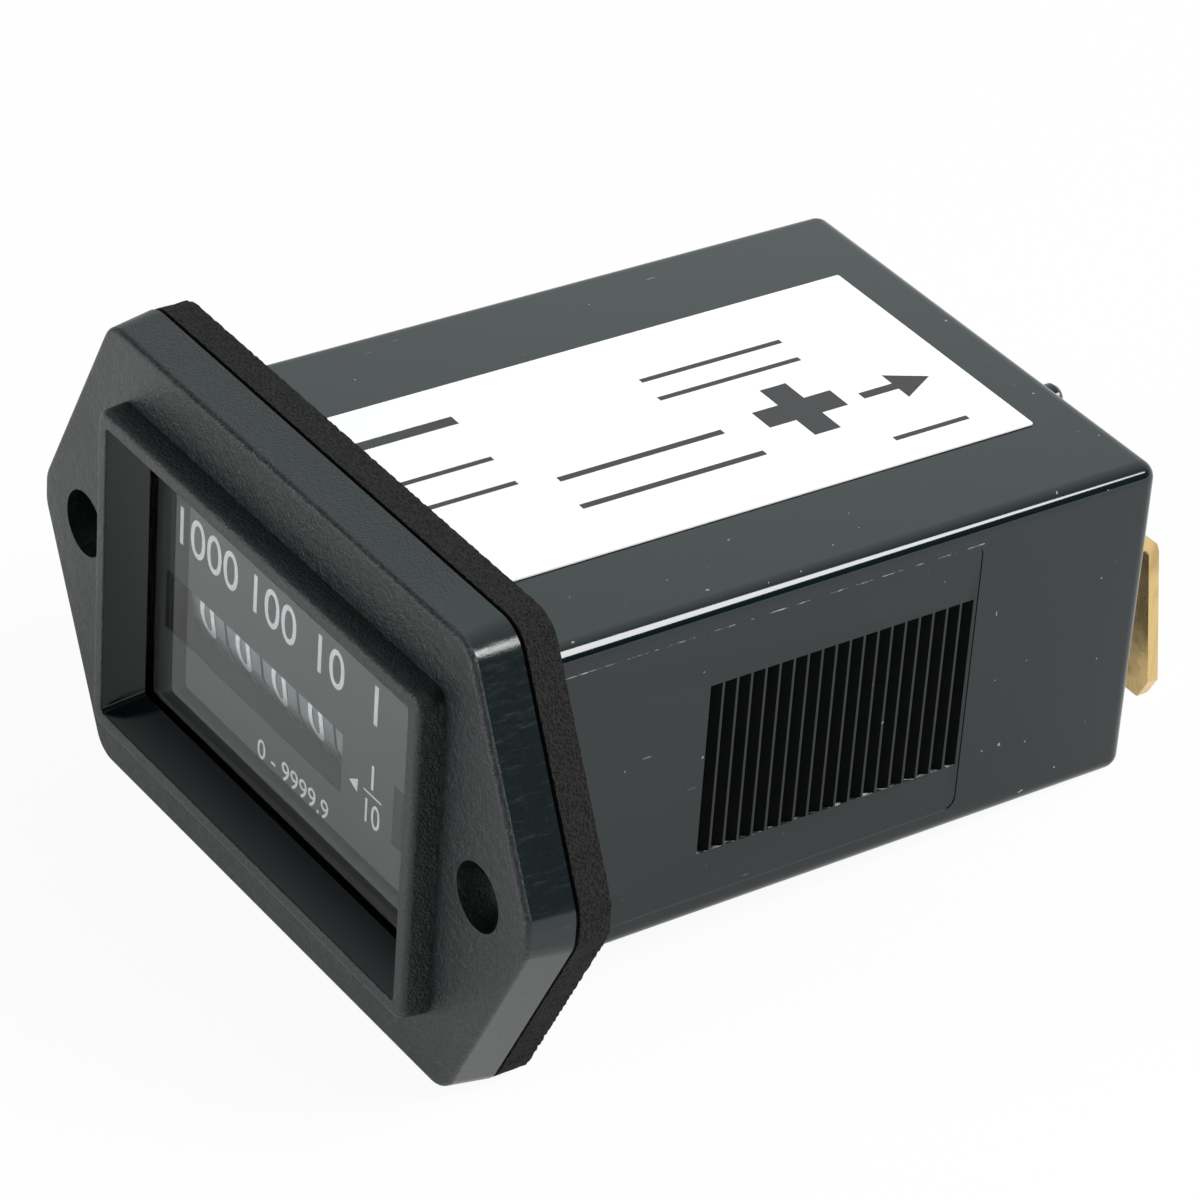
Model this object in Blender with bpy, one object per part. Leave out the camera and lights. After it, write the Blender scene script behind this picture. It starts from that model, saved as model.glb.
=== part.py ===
"""Rectangular panel hour meter with a two-hole flange, number wheels and push-on terminals.

The meter drops through a rectangular panel cut-out from the front. A foam gasket sits between
the flange and the panel. Behind the window a stepping motor drives five number wheels.
Axes: +X to the right seen from the front, +Y into the panel, +Z up. Sizes in metres.
"""
import math

import bmesh
import bpy
from mathutils import Matrix, Vector

# Clearances
SEAT_GAP = 0.0003
RUN_GAP = 0.0002
BORE_GAP = 0.00015
LABEL_GAP = 0.00005

# Case
CASE_EDGE_RADIUS = 0.0009
SIDE_WALL = 0.0016
TOP_WALL = 0.0013
REAR_WALL = 0.0016
CAVITY_RADIUS = 0.0005
EDGE_STEPS = 3
CASE_TAPER = 0.0003
CASE_TOP_TAPER = 0.00027
BOARD_RIB_WIDTH = 0.0010
NUB_RADIUS = 0.00095
NUB_LENGTH = 0.0013
NUB_OFFSET = 0.0059

# Shallow side panel with the ratchet rack for the mounting clips
PANEL_RECESS = 0.0001
PANEL_LENGTH = 0.0331
PANEL_TOP_MARGIN = 0.0016
PANEL_BOTTOM_MARGIN = 0.0017
PANEL_CORNER = 0.0008
RATCHET_TEETH = 19
RATCHET_PITCH = 0.00103
RATCHET_DEPTH = 0.0003
RATCHET_LAND = 0.00017
RATCHET_HEIGHT = 0.0121
RATCHET_START = 0.0134
RATCHET_CENTRE = -0.0003

# Bezel flange, a long hexagon with rounded corners
FLANGE_SHOULDER = 0.00195
FLANGE_EAR = 0.00945
FLANGE_TIP_HALF = 0.0010
FLANGE_HALF_HEIGHT = 0.0158
FLANGE_THICKNESS = 0.0031
FLANGE_DRAFT = 0.0004
FLANGE_EDGE_RADIUS = 0.0004
FLANGE_CORNER_RADIUS = 0.0022
FLANGE_TIP_RADIUS = 0.0024
SCREW_TO_FRAME = 0.00435
SCREW_HOLE_RADIUS = 0.0022

# Raised window frame and its sloping well
FRAME_HEIGHT = 0.0018
FRAME_WALL = 0.0011
FRAME_DRAFT = 0.0001
FRAME_EDGE_RADIUS = 0.0004
FRAME_CORNER_RADIUS = 0.0010
OPENING_WIDTH = 0.0343
OPENING_HEIGHT = 0.0207
OPENING_CORNER_RADIUS = 0.0003
WELL_SLOPE = 0.0015
WELL_DEPTH = 0.0023
WINDOW_PART_MARGIN = 0.0009

# Lens and dial
LENS_THICKNESS = 0.0005
DIAL_THICKNESS = 0.0005
PART_CORNER_RADIUS = 0.0004
DIGIT_WINDOW_HEIGHT = 0.0054
DIGIT_WINDOW_WIDTH = 0.0212
DIGIT_WINDOW_CENTRE = -0.00495
RUN_SLOT_WIDTH = 0.0022
RUN_SLOT_CENTRE = 0.0113
DIAL_ROW_HEIGHT = -0.00168

# Gasket
GASKET_THICKNESS = 0.0024

# Label on the top face
LABEL_WIDTH = 0.0206
LABEL_LENGTH = 0.0403
LABEL_THICKNESS = 0.0001
LABEL_REAR_MARGIN = 0.0043
LABEL_OFFSET = 0.0002

# Number wheels
WHEEL_COUNT = 5
WHEEL_RADIUS = 0.0066
WHEEL_PITCH = 0.00425
WHEEL_RIM = 0.0007
WHEEL_WEB = 0.0005
WHEEL_HUB_RADIUS = 0.0013
WHEEL_SEGMENTS = 24
WHEEL_STACK_CENTRE = -0.0046
WHEEL_TO_DIAL = 0.0012
WHEEL_TO_PLATE = 0.000725
WHEEL_TO_WALL = 0.00172
SHAFT_RADIUS = 0.00075
ROUND_SEGMENTS = 12

# Ten-to-one transfer between the wheels
TRANSFER_MODULE = 0.0005
RING_TEETH = 20
PINION_TEETH = 6
RING_GEAR_INSET = 0.0006
TRANSFER_TOOTH_WIDTH = 0.0006
TRANSFER_TOOTH_REACH = 0.0003
CARRIER_THICKNESS = 0.00035
CARRIER_PIN_RADIUS = 0.0004
CARRIER_ANGLE = math.radians(20.0)

# Gear train from the motor to the tenths wheel
TRAIN_MODULE = 0.0003
DRIVE_TEETH = 34
SECOND_PINION_TEETH = 8
SECOND_TEETH = 34
THIRD_PINION_TEETH = 8
THIRD_TEETH = 26
ROTOR_TEETH = 8
INDICATOR_TEETH = 16
GEAR_WIDTH = 0.0007
PLATE_THICKNESS = 0.0005
POST_RADIUS = 0.0009
PINION_ROOM = 0.0018
AXLE_RADIUS = 0.0004
THIRD_ANGLE = math.radians(-20.0)
ROTOR_ANGLE = math.radians(-10.0)
INDICATOR_RADIUS = 0.0048
INDICATOR_WIDTH = 0.0034
INDICATOR_BACK = 0.0004

# Stepping motor
MAGNET_RADIUS = 0.0025
MAGNET_LENGTH = 0.0020
STATOR_THICKNESS = 0.0010
STATOR_AIR_GAP = 0.0004
STATOR_WALL = 0.0011
STATOR_LEG = 0.0017
STATOR_HALF_HEIGHT = 0.0081
COIL_DISTANCE = 0.0125
CORE_WIDTH = 0.0016
BOBBIN_LENGTH = 0.0120
BOBBIN_FLANGE = 0.0005
BOBBIN_SIZE = 0.0054
BOBBIN_TUBE = 0.0006
WINDING_RADIUS = 0.0025

# Circuit board and its parts
BOARD_THICKNESS = 0.0010
BOARD_HEIGHT = 0.0043
BOARD_FRONT = 0.0135
COIL_TO_BOARD = 0.00424
BOARD_TAIL = 0.0042
BOARD_REAR_GAP = 0.0008
CHIP_SIZE = (0.0050, 0.0040, 0.0015)
CRYSTAL_RADIUS = 0.00105
CRYSTAL_LENGTH = 0.0062
CAPACITOR_RADIUS = 0.0030
CAPACITOR_HEIGHT = 0.0085
DIODE_RADIUS = 0.0010
DIODE_LENGTH = 0.0042
RESISTOR_RADIUS = 0.0009
RESISTOR_LENGTH = 0.0048
LEAD_RADIUS = 0.00025

# Push-on terminals
BLADE_WIDTH = 0.0063
BLADE_THICKNESS = 0.0008
BLADE_OFFSET = 0.01185
BLADE_HEIGHT = 0.0036
BLADE_STAND_OFF = 0.0024
BLADE_DROP = 0.0131
BLADE_LEAN = math.radians(7.6)
BLADE_CHAMFER = 0.0011
BLADE_BEND = 0.0006

# Places along the depth, measured from the panel face
FLANGE_REAR = -GASKET_THICKNESS
FLANGE_FRONT = FLANGE_REAR - FLANGE_THICKNESS
FRAME_FRONT = FLANGE_FRONT - FRAME_HEIGHT
LEDGE_REAR = FRAME_FRONT + WELL_DEPTH
LENS_FRONT = LEDGE_REAR + SEAT_GAP
DIAL_FRONT = LENS_FRONT + LENS_THICKNESS + SEAT_GAP
DIAL_REAR = DIAL_FRONT + DIAL_THICKNESS
CASE_FRONT = FLANGE_REAR + SEAT_GAP
MOVEMENT_FRONT = DIAL_REAR + SEAT_GAP

# Window parts and flange, from the window's opening
PART_HALF_WIDTH = OPENING_WIDTH / 2 - WELL_SLOPE + WINDOW_PART_MARGIN
PART_HALF_HEIGHT = OPENING_HEIGHT / 2 - WELL_SLOPE + WINDOW_PART_MARGIN
FRAME_HALF_WIDTH = OPENING_WIDTH / 2 + FRAME_WALL
FLANGE_HALF_TOP = FRAME_HALF_WIDTH + FLANGE_SHOULDER
FLANGE_HALF_WIDTH = FRAME_HALF_WIDTH + FLANGE_EAR
SCREW_SPACING = 2 * (FRAME_HALF_WIDTH + SCREW_TO_FRAME)

# Wheel axis and the widths along it
WHEEL_WIDTH = WHEEL_PITCH - SEAT_GAP
WHEEL_Y = DIAL_REAR + WHEEL_TO_DIAL + WHEEL_RADIUS
WHEEL_Z = DIAL_ROW_HEIGHT
RIM_INNER = WHEEL_RADIUS - WHEEL_RIM
STACK_HALF_WIDTH = WHEEL_PITCH * (WHEEL_COUNT - 1) / 2 + WHEEL_WIDTH / 2

# Case section, from the wheels that it must clear
CAVITY_HALF_WIDTH = STACK_HALF_WIDTH - WHEEL_STACK_CENTRE + WHEEL_TO_PLATE + PLATE_THICKNESS + SEAT_GAP
CAVITY_HALF_HEIGHT = WHEEL_RADIUS - WHEEL_Z + WHEEL_TO_WALL
CASE_WIDTH = 2 * (CAVITY_HALF_WIDTH + SIDE_WALL)
CASE_HEIGHT = 2 * (CAVITY_HALF_HEIGHT + TOP_WALL)

# Levels of the gear train across the case
DRIVE_LEFT = WHEEL_STACK_CENTRE + STACK_HALF_WIDTH + RUN_GAP
MID_PLATE_LEFT = DRIVE_LEFT + GEAR_WIDTH + RUN_GAP * 2
SECOND_LEFT = MID_PLATE_LEFT + PLATE_THICKNESS + SEAT_GAP
THIRD_LEFT = SECOND_LEFT + GEAR_WIDTH * 2
BEARING_LEFT = CAVITY_HALF_WIDTH - SEAT_GAP * 4 - PLATE_THICKNESS
LEFT_PLATE_LEFT = -CAVITY_HALF_WIDTH + SEAT_GAP

# Gear centres, as (y, z), from the pitch radii
CARRIER_DISTANCE = TRANSFER_MODULE * (RING_TEETH - PINION_TEETH) / 2
DRIVE_DISTANCE = TRAIN_MODULE * (DRIVE_TEETH + SECOND_PINION_TEETH) / 2
INDICATOR_DISTANCE = TRAIN_MODULE * (SECOND_TEETH + INDICATOR_TEETH) / 2
THIRD_DISTANCE = TRAIN_MODULE * (SECOND_TEETH + THIRD_PINION_TEETH) / 2
ROTOR_DISTANCE = TRAIN_MODULE * (THIRD_TEETH + ROTOR_TEETH) / 2


def polar(origin, distance, angle):
    """Point at a distance and angle from another, in the (y, z) plane."""
    return (origin[0] + distance * math.cos(angle), origin[1] + distance * math.sin(angle))


def indicator_place():
    """Axis of the run indicator, just behind its slot in the dial."""
    return (DIAL_REAR + WHEEL_TO_DIAL + INDICATOR_RADIUS + INDICATOR_BACK, WHEEL_Z)


def second_place():
    """Axis of the second wheel, at its mesh distance from the drive gear and the indicator gear."""
    wheel = Vector((WHEEL_Y, WHEEL_Z))
    indicator = Vector(indicator_place())
    span = (indicator - wheel).length
    along = (DRIVE_DISTANCE ** 2 - INDICATOR_DISTANCE ** 2 + span ** 2) / (2 * span)
    across = math.sqrt(max(DRIVE_DISTANCE ** 2 - along ** 2, 0.0))
    direction = (indicator - wheel).normalized()
    normal = Vector((direction.y, -direction.x))
    return tuple(wheel + direction * along + normal * across)


def third_place():
    """Axis of the third wheel."""
    return polar(second_place(), THIRD_DISTANCE, THIRD_ANGLE)


def rotor_place():
    """Axis of the motor's rotor."""
    return polar(third_place(), ROTOR_DISTANCE, ROTOR_ANGLE)


# Depth of the case, from the coil and the board that it holds
COIL_REAR = rotor_place()[0] + COIL_DISTANCE + BOBBIN_SIZE / 2
BOARD_STEP = COIL_REAR + COIL_TO_BOARD
BOARD_REAR = BOARD_STEP + BOARD_TAIL
CASE_DEPTH = BOARD_REAR + BOARD_REAR_GAP + REAR_WALL

# Overall envelope, which puts the origin at its middle
FRONT_REACH = GASKET_THICKNESS + FLANGE_THICKNESS + FRAME_HEIGHT
REAR_REACH = (CASE_DEPTH + BLADE_STAND_OFF + BLADE_THICKNESS / 2 * (1 + math.cos(BLADE_LEAN))
              + (BLADE_DROP - BLADE_THICKNESS / 2) * math.sin(BLADE_LEAN))
PANEL_Y = (FRONT_REACH - REAR_REACH) / 2

COLOURS = {
    "case": ((0.012, 0.013, 0.014), 0.18, 0.0),
    "bezel": ((0.020, 0.021, 0.022), 0.55, 0.0),
    "gasket": ((0.016, 0.014, 0.012), 0.95, 0.0),
    "lens": ((0.75, 0.80, 0.80), 0.04, 0.0),
    "dial": ((0.045, 0.048, 0.050), 0.45, 0.0),
    "label": ((0.86, 0.87, 0.87), 0.40, 0.0),
    "wheel": ((0.28, 0.30, 0.30), 0.45, 0.0),
    "nylon": ((0.70, 0.68, 0.62), 0.45, 0.0),
    "frame": ((0.10, 0.10, 0.11), 0.50, 0.0),
    "steel": ((0.55, 0.56, 0.58), 0.30, 1.0),
    "magnet": ((0.12, 0.11, 0.11), 0.50, 0.3),
    "copper": ((0.60, 0.24, 0.10), 0.35, 1.0),
    "brass": ((0.72, 0.52, 0.20), 0.28, 1.0),
    "board": ((0.03, 0.16, 0.07), 0.50, 0.0),
    "chip": ((0.02, 0.02, 0.02), 0.45, 0.0),
    "sleeve": ((0.03, 0.05, 0.14), 0.35, 0.0),
    "ceramic": ((0.45, 0.33, 0.20), 0.55, 0.0),
}


def clear_scene():
    """Remove every object of the open scene."""
    for obj in list(bpy.data.objects):
        bpy.data.objects.remove(obj, do_unlink=True)


def material(key):
    """Return the plain Principled material of a finish, made once."""
    found = bpy.data.materials.get(key)
    if found is not None:
        return found
    colour, roughness, metallic = COLOURS[key]
    made = bpy.data.materials.new(key)
    made.use_nodes = True
    shader = made.node_tree.nodes["Principled BSDF"]
    shader.inputs["Base Color"].default_value = (*colour, 1.0)
    shader.inputs["Roughness"].default_value = roughness
    shader.inputs["Metallic"].default_value = metallic
    if key == "lens":
        shader.inputs["Transmission Weight"].default_value = 1.0
    return made


# Outlines, as lists of (u, v) points

def arc(centre, radius, start, end, steps):
    """Points of an arc from the start to the end angle."""
    points = []
    for i in range(steps + 1):
        angle = start + (end - start) * i / steps
        points.append((centre[0] + radius * math.cos(angle), centre[1] + radius * math.sin(angle)))
    return points


def circle(centre, radius, segments=ROUND_SEGMENTS):
    """Points of a full circle."""
    return arc(centre, radius, 0.0, 2 * math.pi * (segments - 1) / segments, segments - 1)


def rectangle(u0, u1, v0, v1):
    """Corner points of a rectangle."""
    return [(u0, v0), (u1, v0), (u1, v1), (u0, v1)]


def rounded_rectangle(half_u, half_v, radius, steps=EDGE_STEPS, centre=(0.0, 0.0)):
    """Rectangle with round corners about a centre."""
    points = []
    corners = ((1, 1, 0.0), (-1, 1, 0.5), (-1, -1, 1.0), (1, -1, 1.5))
    for side_u, side_v, turn in corners:
        middle = (centre[0] + side_u * (half_u - radius), centre[1] + side_v * (half_v - radius))
        points += arc(middle, radius, turn * math.pi, (turn + 0.5) * math.pi, steps)
    return points


def round_corners(points, radii, steps=EDGE_STEPS):
    """Replace each corner of a convex outline by an arc of its own radius."""
    rounded = []
    for i, (corner, radius) in enumerate(zip(points, radii)):
        here = Vector(corner)
        back = (Vector(points[i - 1]) - here).normalized()
        ahead = (Vector(points[(i + 1) % len(points)]) - here).normalized()
        half = back.angle(ahead) / 2
        centre = here + (back + ahead).normalized() * radius / math.sin(half)
        first = here + back * radius / math.tan(half) - centre
        last = here + ahead * radius / math.tan(half) - centre
        start = math.atan2(first.y, first.x)
        sweep = math.remainder(math.atan2(last.y, last.x) - start, 2 * math.pi)
        rounded += arc(centre, radius, start, start + sweep, steps)
    return rounded


def flange_outline(grow):
    """Long hexagon of the flange, grown evenly by the draft."""
    slope = Vector((FLANGE_HALF_WIDTH - FLANGE_HALF_TOP, FLANGE_TIP_HALF - FLANGE_HALF_HEIGHT))
    lean = grow * (slope.length - abs(slope.x)) / abs(slope.y)
    rise = grow * (slope.length - abs(slope.y)) / abs(slope.x)
    top = (FLANGE_HALF_TOP + lean, FLANGE_HALF_HEIGHT + grow)
    tip = (FLANGE_HALF_WIDTH + grow, FLANGE_TIP_HALF + rise)
    corners = [(top[0], -top[1]), (tip[0], -tip[1]), tip, top,
               (-top[0], top[1]), (-tip[0], tip[1]), (-tip[0], -tip[1]), (-top[0], -top[1])]
    big, small = FLANGE_CORNER_RADIUS + grow, FLANGE_TIP_RADIUS + grow
    return round_corners(corners, [big, small, small, big, big, small, small, big])


def gear_outline(teeth, module, centre=(0.0, 0.0), phase=0.0):
    """Outline of a spur gear with straight flanks and free backlash."""
    root = module * (teeth / 2 - 1.15)
    tip = module * (teeth / 2 + 0.85)
    step = math.pi / teeth
    points = []
    for i in range(teeth):
        middle = phase + 2 * step * i
        for radius, share in ((root, -0.62), (tip, -0.20), (tip, 0.20), (root, 0.62)):
            angle = middle + share * step
            points.append((centre[0] + radius * math.cos(angle), centre[1] + radius * math.sin(angle)))
    return points


def ring_gear_outline(teeth, module, phase=0.0):
    """Inner outline of an internal gear, its teeth pointing inwards."""
    root = module * (teeth / 2 + 1.10)
    tip = module * (teeth / 2 - 0.75)
    step = math.pi / teeth
    points = []
    for i in range(teeth):
        middle = phase + 2 * step * i
        for radius, share in ((root, -0.55), (tip, -0.22), (tip, 0.22), (root, 0.55)):
            angle = middle + share * step
            points.append((radius * math.cos(angle), radius * math.sin(angle)))
    return points


def mesh_phase(driver_phase, driver_teeth, teeth, direction):
    """Phase of an outside gear so that its spaces meet the driver's teeth."""
    pitch = 2 * math.pi / driver_teeth
    lag = (direction - driver_phase) % pitch
    return direction + math.pi + math.pi / teeth + lag * driver_teeth / teeth


# Solids

def place(axis, u, v, w):
    """World point of the outline plane: X takes (y, z), Y takes (x, z), Z takes (x, y)."""
    if axis == "X":
        return Vector((w, u, v))
    if axis == "Y":
        return Vector((u, w, v))
    return Vector((u, v, w))


def finish_mesh(bm, name):
    """Weld, orient and store a closed mesh."""
    bmesh.ops.remove_doubles(bm, verts=bm.verts, dist=1e-7)
    bmesh.ops.recalc_face_normals(bm, faces=bm.faces)
    mesh = bpy.data.meshes.new(name)
    bm.to_mesh(mesh)
    bm.free()
    return mesh


def loft(name, rings, axis):
    """Closed solid through rings, each an outline with its place along the axis."""
    bm = bmesh.new()
    levels = []
    for outline, level in rings:
        levels.append([bm.verts.new(place(axis, u, v, level)) for u, v in outline])
    for lower, upper in zip(levels, levels[1:]):
        count = len(lower)
        for i in range(count):
            j = (i + 1) % count
            bm.faces.new((lower[i], lower[j], upper[j], upper[i]))
    bm.faces.new(levels[0])
    bm.faces.new(levels[-1])
    return finish_mesh(bm, name)


def prism(name, outline, axis, low, high):
    """Closed solid of one outline without holes."""
    return loft(name, [(outline, low), (outline, high)], axis)


def plate(name, outlines, axis, low, high):
    """Flat plate from a filled curve, whose inner outlines are holes."""
    curve = bpy.data.curves.new(name, "CURVE")
    curve.dimensions = "2D"
    curve.fill_mode = "BOTH"
    curve.extrude = (high - low) / 2
    for outline in outlines:
        spline = curve.splines.new("POLY")
        spline.points.add(len(outline) - 1)
        for point, (u, v) in zip(spline.points, outline):
            point.co = (u, v, 0.0, 1.0)
        spline.use_cyclic_u = True
    guide = bpy.data.objects.new(name + "_guide", curve)
    bpy.context.scene.collection.objects.link(guide)
    bpy.context.view_layer.update()
    flat = bpy.data.meshes.new_from_object(guide.evaluated_get(bpy.context.evaluated_depsgraph_get()))
    bpy.data.objects.remove(guide, do_unlink=True)
    bpy.data.curves.remove(curve)
    bm = bmesh.new()
    bm.from_mesh(flat)
    bpy.data.meshes.remove(flat)
    middle = (low + high) / 2
    for vert in bm.verts:
        vert.co = place(axis, vert.co.x, vert.co.y, middle + vert.co.z)
    return finish_mesh(bm, name)


def turned(name, profile, axis, centre, segments=ROUND_SEGMENTS):
    """Solid of revolution from (radius, place) pairs, closed at both ends on the axis."""
    rings = [(circle(centre, radius, segments), level) for radius, level in profile]
    return loft(name, rings, axis)


def box_mesh(name, x0, x1, y0, y1, z0, z1):
    """Plain block between two corners."""
    return prism(name, rectangle(x0, x1, y0, y1), "Z", z0, z1)


def combine(name, base, others, operation):
    """Union or cut of meshes with the exact Boolean solver, returned as one mesh."""
    body = bpy.data.objects.new(name, base)
    bpy.context.scene.collection.objects.link(body)
    helpers = []
    for i, other in enumerate(others):
        helper = bpy.data.objects.new(f"{name}_tool_{i}", other)
        helper.hide_render = True
        helper.display_type = "WIRE"
        bpy.context.scene.collection.objects.link(helper)
        helpers.append(helper)
        step = body.modifiers.new(f"step_{i}", "BOOLEAN")
        step.operation = operation
        step.solver = "EXACT"
        step.object = helper
    bpy.context.view_layer.update()
    depsgraph = bpy.context.evaluated_depsgraph_get()
    result = bpy.data.meshes.new_from_object(body.evaluated_get(depsgraph))
    bpy.data.objects.remove(body, do_unlink=True)
    for helper in helpers:
        bpy.data.objects.remove(helper, do_unlink=True)
    bm = bmesh.new()
    bm.from_mesh(result)
    bpy.data.meshes.remove(result)
    bmesh.ops.dissolve_degenerate(bm, edges=bm.edges, dist=1e-7)
    return finish_mesh(bm, name)


def node(name, mesh, finish, root, pivot=(0.0, 0.0, 0.0), smooth=35.0):
    """Object of one piece: its origin goes to the pivot and its shading is smooth by angle."""
    mesh.transform(Matrix.Translation(-Vector(pivot)))
    mesh.name = name
    mesh.materials.clear()
    mesh.materials.append(material(finish))
    mesh.shade_smooth()
    mesh.set_sharp_from_angle(angle=math.radians(smooth))
    obj = bpy.data.objects.new(name, mesh)
    obj.location = pivot
    obj.parent = root
    bpy.context.scene.collection.objects.link(obj)
    return obj


# Housing

def screw_holes(radius, low, high):
    """Cutters through the flange at both screw places."""
    return [turned("hole", [(radius, low), (radius, high)], "Y", (side * SCREW_SPACING / 2, 0.0), 24)
            for side in (-1, 1)]


def make_bezel(root):
    """Flange with the raised frame, the sloping well and the pocket for lens and dial."""
    rings = [(flange_outline(FLANGE_DRAFT), FLANGE_REAR)]
    for i in range(EDGE_STEPS + 1):
        turn = math.pi / 2 * i / EDGE_STEPS
        inset = FLANGE_EDGE_RADIUS * (1 - math.cos(turn))
        level = FLANGE_FRONT + FLANGE_EDGE_RADIUS * (1 - math.sin(turn))
        rings.append((flange_outline(-inset), level))
    flange = loft("flange", rings, "Y")

    half_u = OPENING_WIDTH / 2 + FRAME_WALL
    half_v = OPENING_HEIGHT / 2 + FRAME_WALL
    root_level = (FLANGE_FRONT + FLANGE_REAR) / 2
    grown = FRAME_DRAFT
    rings = [(rounded_rectangle(half_u + grown, half_v + grown, FRAME_CORNER_RADIUS), root_level),
             (rounded_rectangle(half_u + grown, half_v + grown, FRAME_CORNER_RADIUS), FLANGE_FRONT)]
    for i in range(EDGE_STEPS + 1):
        turn = math.pi / 2 * i / EDGE_STEPS
        inset = FRAME_EDGE_RADIUS * (1 - math.cos(turn))
        level = FRAME_FRONT + FRAME_EDGE_RADIUS * (1 - math.sin(turn))
        rings.append((rounded_rectangle(half_u - inset, half_v - inset, FRAME_CORNER_RADIUS), level))
    frame = loft("frame", rings, "Y")

    past = FRAME_HEIGHT / 2
    growth = WELL_SLOPE / WELL_DEPTH * past
    well = loft("well", [
        (rounded_rectangle(OPENING_WIDTH / 2 + growth, OPENING_HEIGHT / 2 + growth,
                           OPENING_CORNER_RADIUS), FRAME_FRONT - past),
        (rounded_rectangle(OPENING_WIDTH / 2 - WELL_SLOPE, OPENING_HEIGHT / 2 - WELL_SLOPE,
                           OPENING_CORNER_RADIUS), LEDGE_REAR),
        (rounded_rectangle(OPENING_WIDTH / 2 - WELL_SLOPE, OPENING_HEIGHT / 2 - WELL_SLOPE,
                           OPENING_CORNER_RADIUS), LEDGE_REAR + past)], "Y")
    pocket = prism("pocket", rounded_rectangle(PART_HALF_WIDTH + SEAT_GAP, PART_HALF_HEIGHT + SEAT_GAP,
                                               PART_CORNER_RADIUS + SEAT_GAP),
                   "Y", LEDGE_REAR, FLANGE_REAR + past)
    joined = combine("bezel_body", flange, [frame], "UNION")
    holes = screw_holes(SCREW_HOLE_RADIUS, FLANGE_FRONT - past, FLANGE_REAR + past)
    body = combine("bezel", joined, [well, pocket, *holes], "DIFFERENCE")
    return node("bezel", body, "bezel", root)


def make_gasket(root):
    """Foam gasket with the flange's outline, the case opening and two holes."""
    opening = rounded_rectangle(CASE_WIDTH / 2 + SEAT_GAP, CASE_HEIGHT / 2 + CASE_TOP_TAPER + SEAT_GAP,
                                CASE_EDGE_RADIUS + SEAT_GAP)
    holes = [circle((side * SCREW_SPACING / 2, 0.0), SCREW_HOLE_RADIUS, 16) for side in (-1, 1)]
    body = plate("gasket", [flange_outline(FLANGE_DRAFT), opening, *holes], "Y", CASE_FRONT, 0.0)
    return node("gasket", body, "gasket", root)


def ratchet_cutter(side):
    """Comb that cuts the saw teeth of the clip rack into one side wall."""
    surface = CASE_WIDTH / 2 - PANEL_RECESS
    outside = CASE_WIDTH / 2 + SIDE_WALL
    points = [(outside, RATCHET_START)]
    for i in range(RATCHET_TEETH):
        start = RATCHET_START + RATCHET_PITCH * i
        points += [(surface, start), (surface - RATCHET_DEPTH, start + RATCHET_LAND),
                   (surface, start + RATCHET_PITCH - RATCHET_LAND)]
    points.append((outside, RATCHET_START + RATCHET_PITCH * RATCHET_TEETH - RATCHET_LAND))
    outline = [(side * u, v) for u, v in points]
    low, high = RATCHET_CENTRE - RATCHET_HEIGHT / 2, RATCHET_CENTRE + RATCHET_HEIGHT / 2
    return prism("rack", outline, "Z", low, high)


def panel_cutter(side):
    """Shallow recess of the side panel, open at the gasket end."""
    low = -CASE_HEIGHT / 2 + PANEL_BOTTOM_MARGIN
    high = CASE_HEIGHT / 2 - PANEL_TOP_MARGIN
    start = CASE_FRONT - PANEL_CORNER * 2
    outline = rounded_rectangle((PANEL_LENGTH - start) / 2, (high - low) / 2, PANEL_CORNER,
                                centre=((PANEL_LENGTH + start) / 2, (low + high) / 2))
    inner = side * (CASE_WIDTH / 2 - PANEL_RECESS)
    outer = side * (CASE_WIDTH / 2 + SIDE_WALL)
    return prism("panel", outline, "X", min(inner, outer), max(inner, outer))


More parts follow.
